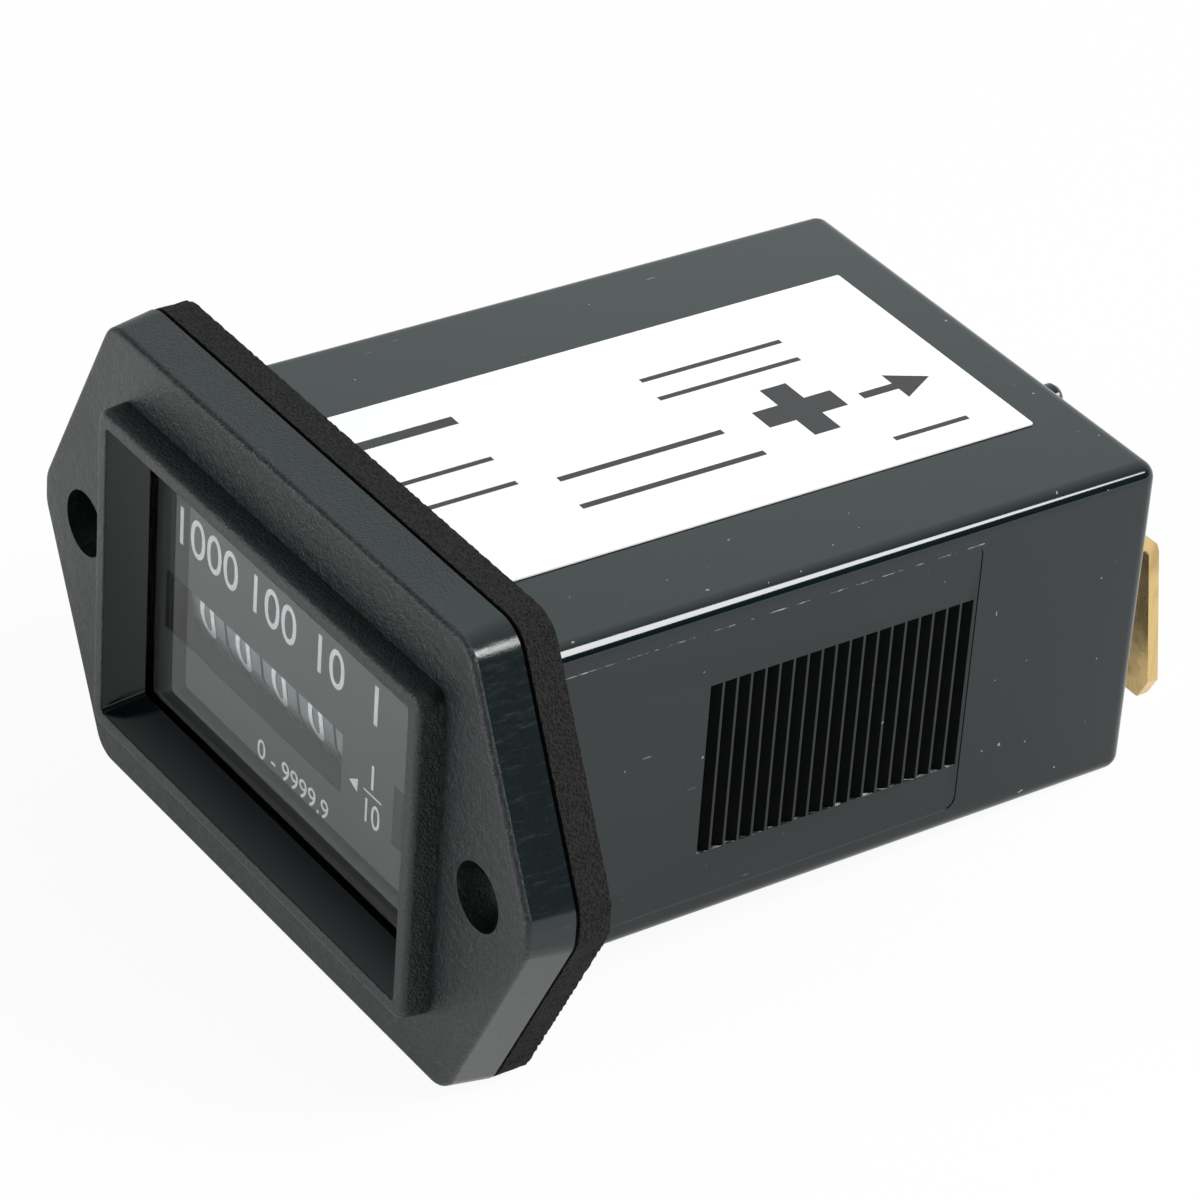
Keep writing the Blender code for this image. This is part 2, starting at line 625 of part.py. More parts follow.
def make_case(root):
    """Box moulding, open at the front, with ratchet racks, terminal slots and board ribs."""
    half_u, half_v = CASE_WIDTH / 2, CASE_HEIGHT / 2
    rings = [(rounded_rectangle(half_u, half_v, CASE_EDGE_RADIUS), CASE_FRONT)]
    for i in range(EDGE_STEPS):
        turn = math.pi / 2 * i / EDGE_STEPS
        inset = CASE_EDGE_RADIUS * (1 - math.cos(turn))
        level = CASE_DEPTH - CASE_EDGE_RADIUS * (1 - math.sin(turn))
        rings.append((rounded_rectangle(half_u - inset, half_v - inset, CASE_EDGE_RADIUS - inset), level))
    rings.append((rounded_rectangle(half_u - CASE_EDGE_RADIUS * 0.98, half_v - CASE_EDGE_RADIUS * 0.98,
                                    CASE_EDGE_RADIUS * 0.02), CASE_DEPTH))
    shell = loft("shell", rings, "Y")
    nub_z = half_v - CASE_EDGE_RADIUS - NUB_RADIUS * 0.8
    nub = turned("nub", [(NUB_RADIUS, CASE_DEPTH - REAR_WALL / 2),
                         (NUB_RADIUS, CASE_DEPTH + NUB_LENGTH * 0.6),
                         (NUB_RADIUS * 0.8, CASE_DEPTH + NUB_LENGTH * 0.9),
                         (NUB_RADIUS * 0.4, CASE_DEPTH + NUB_LENGTH)], "Y", (NUB_OFFSET, nub_z), 12)
    solid = combine("case_outside", shell, [nub], "UNION")

    past = SEAT_GAP
    cavity = prism("cavity", rounded_rectangle(CAVITY_HALF_WIDTH, CAVITY_HALF_HEIGHT, CAVITY_RADIUS),
                   "Y", CASE_FRONT - past, CASE_DEPTH - REAR_WALL)
    slot_low = BLADE_HEIGHT - BLADE_THICKNESS - RUN_GAP
    slots = [box_mesh("slot", side * BLADE_OFFSET - BLADE_WIDTH / 2 - RUN_GAP,
                      side * BLADE_OFFSET + BLADE_WIDTH / 2 + RUN_GAP,
                      CASE_DEPTH - REAR_WALL - past, CASE_DEPTH + past,
                      slot_low, BLADE_HEIGHT + RUN_GAP) for side in (-1, 1)]
    cutters = [cavity, *slots]
    for side in (-1, 1):
        cutters += [panel_cutter(side), ratchet_cutter(side)]
    hollow = combine("case_hollow", solid, cutters, "DIFFERENCE")
    ribs = [box_mesh("rib", x - BOARD_RIB_WIDTH / 2, x + BOARD_RIB_WIDTH / 2,
                     BOARD_FRONT + BOARD_RIB_WIDTH, CASE_DEPTH - REAR_WALL / 2,
                     -CAVITY_HALF_HEIGHT - TOP_WALL / 2, board_bottom() - SEAT_GAP)
            for x in (-BLADE_OFFSET, 0.0)]
    body = combine("case", hollow, ribs, "UNION")
    draft_sides(body)
    return node("case", body, "case", root)


def draft_sides(mesh):
    """Lean the outer side faces inwards towards the rear, with the cavity left straight."""
    for vert in mesh.vertices:
        if abs(vert.co.x) > CAVITY_HALF_WIDTH + SEAT_GAP:
            vert.co.x -= math.copysign(CASE_TAPER * vert.co.y / CASE_DEPTH, vert.co.x)
    draft_top(mesh, CAVITY_HALF_HEIGHT + SEAT_GAP)


def draft_top(mesh, level):
    """Raise what lies over a level towards the front, as the mould's draft does to the top face."""
    for vert in mesh.vertices:
        if vert.co.z > level:
            vert.co.z += CASE_TOP_TAPER * max(0.0, 1 - vert.co.y / CASE_DEPTH)


def make_label(root):
    """Thin label on the top face, running under the gasket's rear edge."""
    rear = CASE_DEPTH - LABEL_REAR_MARGIN
    low = CASE_HEIGHT / 2 + LABEL_GAP
    body = box_mesh("label", LABEL_OFFSET - LABEL_WIDTH / 2, LABEL_OFFSET + LABEL_WIDTH / 2,
                    rear - LABEL_LENGTH, rear, low, low + LABEL_THICKNESS)
    draft_top(body, CASE_HEIGHT / 2)
    return node("label", body, "label", root)


def make_lens(root):
    """Clear window plate held behind the bezel's ledge."""
    outline = rounded_rectangle(PART_HALF_WIDTH, PART_HALF_HEIGHT, PART_CORNER_RADIUS)
    body = prism("lens", outline, "Y", LENS_FRONT, LENS_FRONT + LENS_THICKNESS)
    return node("lens", body, "lens", root)


def make_dial(root):
    """Dial plate with the digit window and the run indicator's slot."""
    outline = rounded_rectangle(PART_HALF_WIDTH, PART_HALF_HEIGHT, PART_CORNER_RADIUS)
    low = DIAL_ROW_HEIGHT - DIGIT_WINDOW_HEIGHT / 2
    high = DIAL_ROW_HEIGHT + DIGIT_WINDOW_HEIGHT / 2
    window = rectangle(DIGIT_WINDOW_CENTRE - DIGIT_WINDOW_WIDTH / 2,
                       DIGIT_WINDOW_CENTRE + DIGIT_WINDOW_WIDTH / 2, low, high)
    slot = rectangle(RUN_SLOT_CENTRE - RUN_SLOT_WIDTH / 2, RUN_SLOT_CENTRE + RUN_SLOT_WIDTH / 2, low, high)
    body = plate("dial_plate", [outline, window, slot], "Y", DIAL_FRONT, DIAL_REAR)
    return node("dial_plate", body, "dial", root)


# Number wheels

def wheel_centre(index):
    """Middle of a wheel's width, counted from the left."""
    return WHEEL_STACK_CENTRE + WHEEL_PITCH * (index - (WHEEL_COUNT - 1) / 2)


def wheel_body(index, first, last):
    """Number wheel: rim, web and hub, with an inner ring gear and two transfer teeth."""
    centre = wheel_centre(index)
    left, right = centre - WHEEL_WIDTH / 2, centre + WHEEL_WIDTH / 2
    rim = plate("rim", [circle((0.0, 0.0), WHEEL_RADIUS, WHEEL_SEGMENTS),
                        circle((0.0, 0.0), RIM_INNER, WHEEL_SEGMENTS)], "X", left, right)
    inside = (RIM_INNER + WHEEL_RADIUS) / 2
    hub_end = DRIVE_LEFT + GEAR_WIDTH if last else right
    parts = [prism("web", circle((0.0, 0.0), inside, WHEEL_SEGMENTS), "X", centre - WHEEL_WEB, centre),
             prism("hub", circle((0.0, 0.0), WHEEL_HUB_RADIUS), "X", centre - WHEEL_WEB / 2, hub_end)]
    if last:
        parts.append(prism("drive", gear_outline(DRIVE_TEETH, TRAIN_MODULE, phase=math.pi / DRIVE_TEETH),
                           "X", DRIVE_LEFT, hub_end))
    else:
        ring = plate("ring", [circle((0.0, 0.0), inside, WHEEL_SEGMENTS),
                              ring_gear_outline(RING_TEETH, TRANSFER_MODULE)], "X",
                     centre - WHEEL_WEB / 2, right - RING_GEAR_INSET)
        parts.append(ring)
    if not first:
        parts += [transfer_tooth(centre, turn) for turn in (-1, 1)]
    solid = combine("wheel_solid", rim, parts, "UNION")
    bore = prism("bore", circle((0.0, 0.0), SHAFT_RADIUS + BORE_GAP), "X", left, hub_end + RUN_GAP)
    return combine(f"wheel_{index}", solid, [bore], "DIFFERENCE")


def transfer_tooth(centre, turn):
    """One of the two short teeth inside the rim that step the next wheel."""
    angle = CARRIER_ANGLE + math.pi + turn * math.pi / RING_TEETH
    inner, outer = RIM_INNER - TRANSFER_TOOTH_REACH, (RIM_INNER + WHEEL_RADIUS) / 2
    half = math.radians(4.0)
    outline = [(inner * math.cos(angle - half), inner * math.sin(angle - half)),
               (outer * math.cos(angle - half), outer * math.sin(angle - half)),
               (outer * math.cos(angle + half), outer * math.sin(angle + half)),
               (inner * math.cos(angle + half), inner * math.sin(angle + half))]
    left = centre - WHEEL_WIDTH / 2 + RUN_GAP
    return prism("transfer_tooth", outline, "X", left, left + TRANSFER_TOOTH_WIDTH)


def make_wheels(root):
    """The five number wheels, thousands on the left and tenths on the right."""
    names = ("wheel_thousands", "wheel_hundreds", "wheel_tens", "wheel_units", "wheel_tenths")
    for index, name in enumerate(names):
        last = index == WHEEL_COUNT - 1
        body = wheel_body(index, index == 0, last)
        body.transform(Matrix.Translation((0.0, WHEEL_Y, WHEEL_Z)))
        node(name, body, "wheel", root, (wheel_centre(index), WHEEL_Y, WHEEL_Z))


def make_transfers(root):
    """Carrier plates on the fixed shaft and the pinions on their pins, between the wheels."""
    offset = (CARRIER_DISTANCE * math.cos(CARRIER_ANGLE), CARRIER_DISTANCE * math.sin(CARRIER_ANGLE))
    pin_place = (WHEEL_Y + offset[0], WHEEL_Z + offset[1])
    ring_pitch = 2 * math.pi / RING_TEETH
    lag = (CARRIER_ANGLE - ring_pitch / 2) % ring_pitch
    phase = CARRIER_ANGLE - lag * RING_TEETH / PINION_TEETH
    for index in range(WHEEL_COUNT - 1):
        low = wheel_centre(index) + RUN_GAP
        web_left = wheel_centre(index + 1) - WHEEL_WEB
        carrier_right = web_left - RUN_GAP
        carrier_left = carrier_right - CARRIER_THICKNESS
        outer = RIM_INNER - TRANSFER_TOOTH_REACH - RUN_GAP
        disc = plate("disc", [circle((WHEEL_Y, WHEEL_Z), outer, 14),
                              circle((WHEEL_Y, WHEEL_Z), SHAFT_RADIUS + BORE_GAP)], "X",
                     carrier_left, carrier_right)
        pin = turned("pin", [(CARRIER_PIN_RADIUS, low), (CARRIER_PIN_RADIUS, carrier_right - RUN_GAP / 2)],
                     "X", pin_place, 8)
        carrier = combine("carrier", disc, [pin], "UNION")
        node(f"pinion_carrier_{index + 1}", carrier, "steel", root)
        teeth = gear_outline(PINION_TEETH, TRANSFER_MODULE, pin_place, phase)
        pinion = plate("pinion", [teeth, circle(pin_place, CARRIER_PIN_RADIUS + BORE_GAP, 8)], "X",
                       low, carrier_left - RUN_GAP)
        node(f"transfer_pinion_{index + 1}", pinion, "nylon", root, (low, *pin_place))


def make_shaft(root):
    """Fixed steel shaft through all number wheels."""
    low = LEFT_PLATE_LEFT + PLATE_THICKNESS / 2
    high = MID_PLATE_LEFT + PLATE_THICKNESS / 2
    body = turned("shaft", [(SHAFT_RADIUS, low), (SHAFT_RADIUS, high)], "X", (WHEEL_Y, WHEEL_Z))
    node("wheel_shaft", body, "steel", root)


# Gear train

def heading(start, end):
    """Angle of the line between two axes."""
    return math.atan2(end[1] - start[1], end[0] - start[0])


def train_phases():
    """Tooth phases that let every pair of the train mesh at rest."""
    wheel, second, third = (WHEEL_Y, WHEEL_Z), second_place(), third_place()
    pinion_two = mesh_phase(math.pi / DRIVE_TEETH, DRIVE_TEETH, SECOND_PINION_TEETH, heading(wheel, second))
    gear_two = 0.0
    indicator = mesh_phase(gear_two, SECOND_TEETH, INDICATOR_TEETH, heading(second, indicator_place()))
    pinion_three = mesh_phase(gear_two, SECOND_TEETH, THIRD_PINION_TEETH, heading(second, third))
    gear_three = 0.0
    rotor = mesh_phase(gear_three, THIRD_TEETH, ROTOR_TEETH, heading(third, rotor_place()))
    return pinion_two, gear_two, indicator, pinion_three, gear_three, rotor


def axle(place_yz, low, high, radius=AXLE_RADIUS):
    """Plain round axle between two places along X."""
    return turned("axle", [(radius, low), (radius, high)], "X", place_yz, 10)


def make_train(root):
    """Second wheel, third wheel and run indicator, each moulded with its axle."""
    pinion_two, gear_two, indicator_phase, pinion_three, gear_three, _ = train_phases()
    second, third, indicator = second_place(), third_place(), indicator_place()
    end = BEARING_LEFT + PLATE_THICKNESS
    start = MID_PLATE_LEFT

    body = combine("second", axle(second, DRIVE_LEFT, end), [
        prism("pinion", gear_outline(SECOND_PINION_TEETH, TRAIN_MODULE, second, pinion_two), "X",
              DRIVE_LEFT, DRIVE_LEFT + GEAR_WIDTH),
        prism("gear", gear_outline(SECOND_TEETH, TRAIN_MODULE, second, gear_two), "X",
              SECOND_LEFT, SECOND_LEFT + GEAR_WIDTH)], "UNION")
    node("second_wheel", body, "nylon", root, (SECOND_LEFT, *second))

    body = combine("third", axle(third, start, end), [
        prism("pinion", gear_outline(THIRD_PINION_TEETH, TRAIN_MODULE, third, pinion_three), "X",
              SECOND_LEFT, SECOND_LEFT + GEAR_WIDTH),
        prism("gear", gear_outline(THIRD_TEETH, TRAIN_MODULE, third, gear_three), "X",
              THIRD_LEFT, THIRD_LEFT + GEAR_WIDTH)], "UNION")
    node("third_wheel", body, "nylon", root, (THIRD_LEFT, *third))

    drum_left = SECOND_LEFT + GEAR_WIDTH + SEAT_GAP
    body = combine("indicator", axle(indicator, start, end), [
        prism("gear", gear_outline(INDICATOR_TEETH, TRAIN_MODULE, indicator, indicator_phase), "X",
              SECOND_LEFT, SECOND_LEFT + GEAR_WIDTH),
        turned("neck", [(INDICATOR_RADIUS / 3, SECOND_LEFT + GEAR_WIDTH / 2),
                        (INDICATOR_RADIUS / 3, drum_left + SEAT_GAP)], "X", indicator),
        turned("drum", [(INDICATOR_RADIUS, drum_left), (INDICATOR_RADIUS, drum_left + INDICATOR_WIDTH)],
               "X", indicator, 24)], "UNION")
    node("run_indicator", body, "wheel", root, (drum_left, *indicator))


def magnet_left():
    """Left end of the rotor magnet, so that the stator lies at its middle."""
    return THIRD_LEFT + GEAR_WIDTH + SEAT_GAP * 2


def stator_left():
    """Left face of the stator plate, centred on the magnet."""
    return magnet_left() + MAGNET_LENGTH / 2 - STATOR_THICKNESS / 2


def make_motor(root):
    """Two-pole rotor, stator plate, core, bobbin and winding of the stepping motor."""
    rotor = rotor_place()
    phase = train_phases()[-1]
    left = magnet_left()
    pinion = combine("rotor", axle(rotor, MID_PLATE_LEFT, BEARING_LEFT + PLATE_THICKNESS), [
        prism("pinion", gear_outline(ROTOR_TEETH, TRAIN_MODULE, rotor, phase), "X",
              THIRD_LEFT, THIRD_LEFT + GEAR_WIDTH)], "UNION")
    node("rotor_pinion", pinion, "nylon", root, (left, *rotor))
    magnet = plate("magnet", [circle(rotor, MAGNET_RADIUS, 20), circle(rotor, AXLE_RADIUS + BORE_GAP, 10)],
                   "X", left, left + MAGNET_LENGTH)
    node("rotor_magnet", magnet, "magnet", root, (left, *rotor))

    air = MAGNET_RADIUS + STATOR_AIR_GAP
    plate_left = stator_left()
    front = rotor[0] - air - STATOR_WALL
    rear = rotor[0] + COIL_DISTANCE + CORE_WIDTH
    half = STATOR_HALF_HEIGHT
    waist = rotor[0] + air + STATOR_WALL
    inner = half - STATOR_LEG
    outline = round_corners([(front, -half), (rear, -half), (rear, -inner), (waist, -inner),
                             (waist, inner), (rear, inner), (rear, half), (front, half)],
                            [STATOR_LEG, 0.0004, 0.0004, 0.0004, 0.0004, 0.0004, 0.0004, STATOR_LEG])
    stator = plate("stator", [outline, circle(rotor, air, 20)], "X", plate_left,
                   plate_left + STATOR_THICKNESS)
    node("stator", stator, "steel", root)

    core_left = plate_left + STATOR_THICKNESS + SEAT_GAP
    core_y = rotor[0] + COIL_DISTANCE
    core = box_mesh("core", core_left, core_left + STATOR_THICKNESS, core_y - CORE_WIDTH / 2,
                    core_y + CORE_WIDTH / 2, -half, half)
    node("coil_core", core, "steel", root)

    middle = (core_left + STATOR_THICKNESS / 2, core_y)
    tube = (STATOR_THICKNESS / 2 + SEAT_GAP, CORE_WIDTH / 2 + SEAT_GAP)
    bore = rounded_rectangle(*tube, SEAT_GAP, centre=middle)
    outer = rounded_rectangle(tube[0] + BOBBIN_TUBE, tube[1] + BOBBIN_TUBE, BOBBIN_TUBE, centre=middle)
    flange = rounded_rectangle(BOBBIN_SIZE / 2, BOBBIN_SIZE / 2, BOBBIN_TUBE, centre=middle)
    span = BOBBIN_LENGTH / 2
    sleeve = prism("sleeve", outer, "Z", -span + BOBBIN_FLANGE / 2, span - BOBBIN_FLANGE / 2)
    ends = [prism("end", flange, "Z", *sorted((side * span, side * (span - BOBBIN_FLANGE))))
            for side in (-1, 1)]
    solid = combine("bobbin_solid", sleeve, ends, "UNION")
    hole = prism("bore", bore, "Z", -span - BOBBIN_FLANGE, span + BOBBIN_FLANGE)
    bobbin = combine("bobbin", solid, [hole], "DIFFERENCE")
    node("coil_bobbin", bobbin, "nylon", root)
    inside = rounded_rectangle(tube[0] + BOBBIN_TUBE + RUN_GAP, tube[1] + BOBBIN_TUBE + RUN_GAP,
                               BOBBIN_TUBE, centre=middle)
    reach = span - BOBBIN_FLANGE - RUN_GAP
    winding = plate("winding", [rounded_rectangle(WINDING_RADIUS, WINDING_RADIUS, WINDING_RADIUS * 0.8,
                                                  centre=middle), inside], "Z", -reach, reach)
    node("coil_winding", winding, "copper", root)


# Chassis of the movement

def bearing_holes(places, radius=AXLE_RADIUS + BORE_GAP):
    """Round bearing holes at axle places."""
    return [circle(spot, radius, 10) for spot in places]


def post_places():
    """Posts that join the middle plate and the bearing plate, clear of every gear."""
    front = WHEEL_Y + POST_RADIUS * 4
    reach = CAVITY_HALF_HEIGHT - SEAT_GAP - POST_RADIUS * 1.5
    rotor = rotor_place()
    behind = rotor[0] + MAGNET_RADIUS + STATOR_AIR_GAP + STATOR_WALL + POST_RADIUS * 2
    return [(front, reach), (front, -reach), (behind, rotor[1])]


def pillar_places():
    """Short pillars that carry the stator at its four corners."""
    rotor = rotor_place()
    front = rotor[0] - MAGNET_RADIUS - STATOR_AIR_GAP - STATOR_WALL + STATOR_LEG
    reach = STATOR_HALF_HEIGHT - STATOR_LEG / 2
    return [(y, side * reach) for y in (front, rotor[0] + COIL_DISTANCE) for side in (-1, 1)]


def make_chassis(root):
    """Moulded movement frame of floor, rear wall and two plates, and the screwed-on bearing plate."""
    low = -CAVITY_HALF_HEIGHT + SEAT_GAP
    high = CAVITY_HALF_HEIGHT - SEAT_GAP
    wheel_low = WHEEL_Z - WHEEL_RADIUS
    wheel_back = WHEEL_Y + WHEEL_RADIUS
    second, third, rotor, indicator = second_place(), third_place(), rotor_place(), indicator_place()
    rear = rotor[0] + COIL_DISTANCE + CORE_WIDTH
    bearing_rear = post_places()[2][0] + POST_RADIUS * 1.5
    wall_front = wheel_back + SEAT_GAP
    wall_rear = wall_front + PLATE_THICKNESS * 1.6

    left = plate("left", [rectangle(MOVEMENT_FRONT, wall_rear, low, high),
                          circle((WHEEL_Y, WHEEL_Z), SHAFT_RADIUS + BORE_GAP)], "X",
                 LEFT_PLATE_LEFT, LEFT_PLATE_LEFT + PLATE_THICKNESS)
    shaft_hole = circle((WHEEL_Y, WHEEL_Z), SHAFT_RADIUS + BORE_GAP)
    middle = plate("middle", [rectangle(MOVEMENT_FRONT, rear, low, high), shaft_hole,
                              *bearing_holes([second, third, rotor, indicator])], "X",
                   MID_PLATE_LEFT, MID_PLATE_LEFT + PLATE_THICKNESS)
    inside = PLATE_THICKNESS / 2
    floor = box_mesh("floor", LEFT_PLATE_LEFT + inside, MID_PLATE_LEFT + inside, MOVEMENT_FRONT + inside,
                     wall_rear - inside, low, wheel_low - RUN_GAP)
    wall = box_mesh("wall", LEFT_PLATE_LEFT + inside, DRIVE_LEFT - RUN_GAP, wall_front, wall_rear,
                    (low + wheel_low) / 2, high - inside)
    bridge = box_mesh("bridge", DRIVE_LEFT - RUN_GAP - inside, MID_PLATE_LEFT + inside, wall_front + inside / 4,
                      wall_rear - inside / 4, second[1] + PINION_ROOM, high - inside * 2)
    posts = [turned("post", [(POST_RADIUS, MID_PLATE_LEFT + inside),
                             (POST_RADIUS, BEARING_LEFT - SEAT_GAP)], "X", spot, 10)
             for spot in post_places()]
    seat = stator_left() - SEAT_GAP
    pillars = [turned("pillar", [(POST_RADIUS, MID_PLATE_LEFT + inside), (POST_RADIUS, seat)], "X", spot, 10)
               for spot in pillar_places()]
    frame = combine("frame", left, [floor, wall, bridge, middle, *posts, *pillars], "UNION")
    node("movement_frame", frame, "frame", root)

    reach = PLATE_THICKNESS * 3
    outline = round_corners([(MOVEMENT_FRONT, low), (bearing_rear, low + reach),
                             (bearing_rear, high - reach), (MOVEMENT_FRONT, high)], [reach / 2] * 4)
    bearing = plate("bearing", [outline, *bearing_holes([second, third, rotor, indicator])], "X",
                    BEARING_LEFT, BEARING_LEFT + PLATE_THICKNESS)
    node("bearing_plate", bearing, "steel", root)


# Electronics

def board_bottom():
    """Underside of the circuit board."""
    return -CAVITY_HALF_HEIGHT + BOARD_HEIGHT - BOARD_THICKNESS


def make_board(root):
    """L-shaped circuit board with its parts."""
    half = CAVITY_HALF_WIDTH - SEAT_GAP * 2
    bottom = board_bottom()
    top = bottom + BOARD_THICKNESS
    inner = MID_PLATE_LEFT - SEAT_GAP * 2
    outline = [(-half, BOARD_FRONT), (inner, BOARD_FRONT), (inner, BOARD_STEP), (half, BOARD_STEP),
               (half, BOARD_REAR), (-half, BOARD_REAR)]
    node("circuit_board", prism("board", outline, "Z", bottom, top), "board", root)

    seat = top + SEAT_GAP
    width, length, height = CHIP_SIZE
    chip_x = -BLADE_OFFSET / 3
    chip_y = BOARD_FRONT + length * 2.5
    chip = box_mesh("chip", chip_x - width / 2, chip_x + width / 2, chip_y - length / 2,
                    chip_y + length / 2, seat + height * 0.15, seat + height)
    legs = [box_mesh("leg", chip_x + width * (share - 0.05), chip_x + width * (share + 0.05),
                     chip_y - length * 0.7, chip_y + length * 0.7, seat, seat + height * 0.4)
            for share in (-0.36, -0.12, 0.12, 0.36)]
    node("driver_chip", combine("chip", chip, legs, "UNION"), "chip", root)

    crystal_y = BOARD_FRONT + CRYSTAL_RADIUS * 4
    crystal = turned("crystal", [(CRYSTAL_RADIUS, -BLADE_OFFSET - CRYSTAL_LENGTH / 4),
                                 (CRYSTAL_RADIUS, -BLADE_OFFSET + CRYSTAL_LENGTH * 3 / 4)], "X",
                     (crystal_y, seat + CRYSTAL_RADIUS), 16)
    node("quartz_crystal", crystal, "steel", root)

    capacitor_y = BOARD_STEP - CAPACITOR_RADIUS * 1.4
    capacitor = turned("capacitor", [(CAPACITOR_RADIUS, seat),
                                     (CAPACITOR_RADIUS, seat + CAPACITOR_HEIGHT * 0.96),
                                     (CAPACITOR_RADIUS * 0.92, seat + CAPACITOR_HEIGHT)], "Z",
                       (0.0, capacitor_y), 16)
    node("capacitor", capacitor, "sleeve", root)

    axial_part("diode", "chip", root, (-BLADE_OFFSET, capacitor_y), DIODE_RADIUS, DIODE_LENGTH, seat)
    axial_part("resistor", "ceramic", root, (-BLADE_OFFSET, capacitor_y - DIODE_RADIUS * 5),
               RESISTOR_RADIUS, RESISTOR_LENGTH, seat)


def axial_part(name, finish, root, spot, radius, length, seat):
    """Round body along X with a bent lead down to the board at each end."""
    level = seat + radius
    body = turned(name, [(radius * 0.85, spot[0] - length / 2), (radius, spot[0] - length * 0.4),
                         (radius, spot[0] + length * 0.4), (radius * 0.85, spot[0] + length / 2)], "X",
                  (spot[1], level), 10)
    reach = length / 2 + radius
    wire = turned("wire", [(LEAD_RADIUS, spot[0] - reach), (LEAD_RADIUS, spot[0] + reach)], "X",
                  (spot[1], level), 6)
    legs = [turned("leg", [(LEAD_RADIUS * 1.1, seat), (LEAD_RADIUS * 1.1, level + LEAD_RADIUS * 0.5)], "Z",
                   (spot[0] + side * (reach - LEAD_RADIUS), spot[1]), 6) for side in (-1, 1)]
    node(name, combine(name, body, [wire, *legs], "UNION"), finish, root)


# Terminals

def strip_outline():
    """Side outline, as (y, z), of the bent brass strip from the board to the blade's tip."""
    inner = BOARD_REAR - BLADE_THICKNESS * 2
    foot = board_bottom() + BOARD_THICKNESS + SEAT_GAP
    outer = CASE_DEPTH + BLADE_STAND_OFF
    middle = BLADE_HEIGHT - BLADE_THICKNESS / 2
    down = Vector((math.sin(BLADE_LEAN), -math.cos(BLADE_LEAN)))
    corner = Vector((outer + BLADE_THICKNESS / 2, middle))
    tip = corner + down * (BLADE_DROP - BLADE_THICKNESS / 2)
    line = [Vector((inner, foot)), *bend((inner, foot), (inner, middle), corner),
            *bend((inner, middle), corner, tip), tip]
    half = BLADE_THICKNESS / 2
    left, right = [], []
    for i, point in enumerate(line):
        before = line[max(i - 1, 0)]
        after = line[min(i + 1, len(line) - 1)]
        along = (after - before).normalized()
        normal = Vector((-along.y, along.x))
        left.append(tuple(point + normal * half))
        right.append(tuple(point - normal * half))
    return left + right[::-1]


def bend(before, corner, after):
    """Round bend of the strip's middle line at a corner."""
    corner = Vector(corner)
    back = (Vector(before) - corner).normalized()
    ahead = (Vector(after) - corner).normalized()
    radius = BLADE_BEND + BLADE_THICKNESS / 2
    half = back.angle(ahead) / 2
    centre = corner + (back + ahead).normalized() * radius / math.sin(half)
    first = corner + back * radius / math.tan(half) - centre
    last = corner + ahead * radius / math.tan(half) - centre
    start = math.atan2(first.y, first.x)
    sweep = math.remainder(math.atan2(last.y, last.x) - start, 2 * math.pi)
    return [Vector(point) for point in arc(centre, radius, start, start + sweep, EDGE_STEPS)]


def make_terminals(root):
    """Positive and negative push-on blades, right and left of the rear face."""
    outline = strip_outline()
    lowest = min(v for _, v in outline)
    for side, name in ((1, "terminal_positive"), (-1, "terminal_negative")):
        middle = side * BLADE_OFFSET
        low, high = middle - BLADE_WIDTH / 2, middle + BLADE_WIDTH / 2
        strip = prism("strip", outline, "X", low, high)
        past = BLADE_CHAMFER
        corners = []
        for edge, turn in ((low, 1), (high, -1)):
            points = [(edge - turn * past, lowest - past), (edge + turn * past, lowest - past),
                      (edge + turn * past, lowest), (edge, lowest + past * 1.6),
                      (edge - turn * past, lowest + past * 1.6)]
            corners.append(prism("corner", points, "Y", CASE_DEPTH + BLADE_STAND_OFF / 2,
                                 REAR_REACH + past))
        body = combine(name, strip, corners, "DIFFERENCE")
        node(name, body, "brass", root)


def build():
    """Model the whole meter under one root that centres its envelope on the origin."""
    clear_scene()
    root = bpy.data.objects.new("hour_meter", None)
    root.location = (0.0, PANEL_Y, 0.0)
    bpy.context.scene.collection.objects.link(root)
    make_bezel(root)
    make_gasket(root)
    make_case(root)
    make_label(root)
    make_lens(root)
    make_dial(root)
    make_wheels(root)
    make_transfers(root)
    make_shaft(root)
    make_train(root)
    make_motor(root)
    make_chassis(root)
    make_board(root)
    make_terminals(root)


build()
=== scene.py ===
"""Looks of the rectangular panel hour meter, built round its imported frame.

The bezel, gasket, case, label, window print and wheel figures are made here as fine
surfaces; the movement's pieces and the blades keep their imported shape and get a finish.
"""
import logging
import math
from dataclasses import dataclass
from enum import Enum
from typing import Sequence

import bmesh
import bpy
import numpy as np
from mathutils import Matrix, Vector


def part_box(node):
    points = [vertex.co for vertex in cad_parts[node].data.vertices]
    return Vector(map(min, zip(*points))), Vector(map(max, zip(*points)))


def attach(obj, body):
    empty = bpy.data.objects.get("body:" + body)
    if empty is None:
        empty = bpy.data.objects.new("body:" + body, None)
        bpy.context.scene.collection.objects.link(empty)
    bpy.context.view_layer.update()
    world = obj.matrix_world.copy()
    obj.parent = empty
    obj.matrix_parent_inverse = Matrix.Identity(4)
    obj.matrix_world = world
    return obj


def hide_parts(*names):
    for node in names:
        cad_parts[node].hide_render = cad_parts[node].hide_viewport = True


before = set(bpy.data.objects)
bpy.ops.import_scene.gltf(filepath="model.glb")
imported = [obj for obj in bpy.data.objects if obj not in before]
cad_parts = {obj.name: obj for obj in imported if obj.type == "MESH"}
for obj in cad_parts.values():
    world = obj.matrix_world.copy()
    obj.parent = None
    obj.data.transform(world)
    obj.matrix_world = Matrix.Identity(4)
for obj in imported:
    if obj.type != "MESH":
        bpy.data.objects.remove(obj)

LOG = logging.getLogger("hour_meter")
MM = 0.001
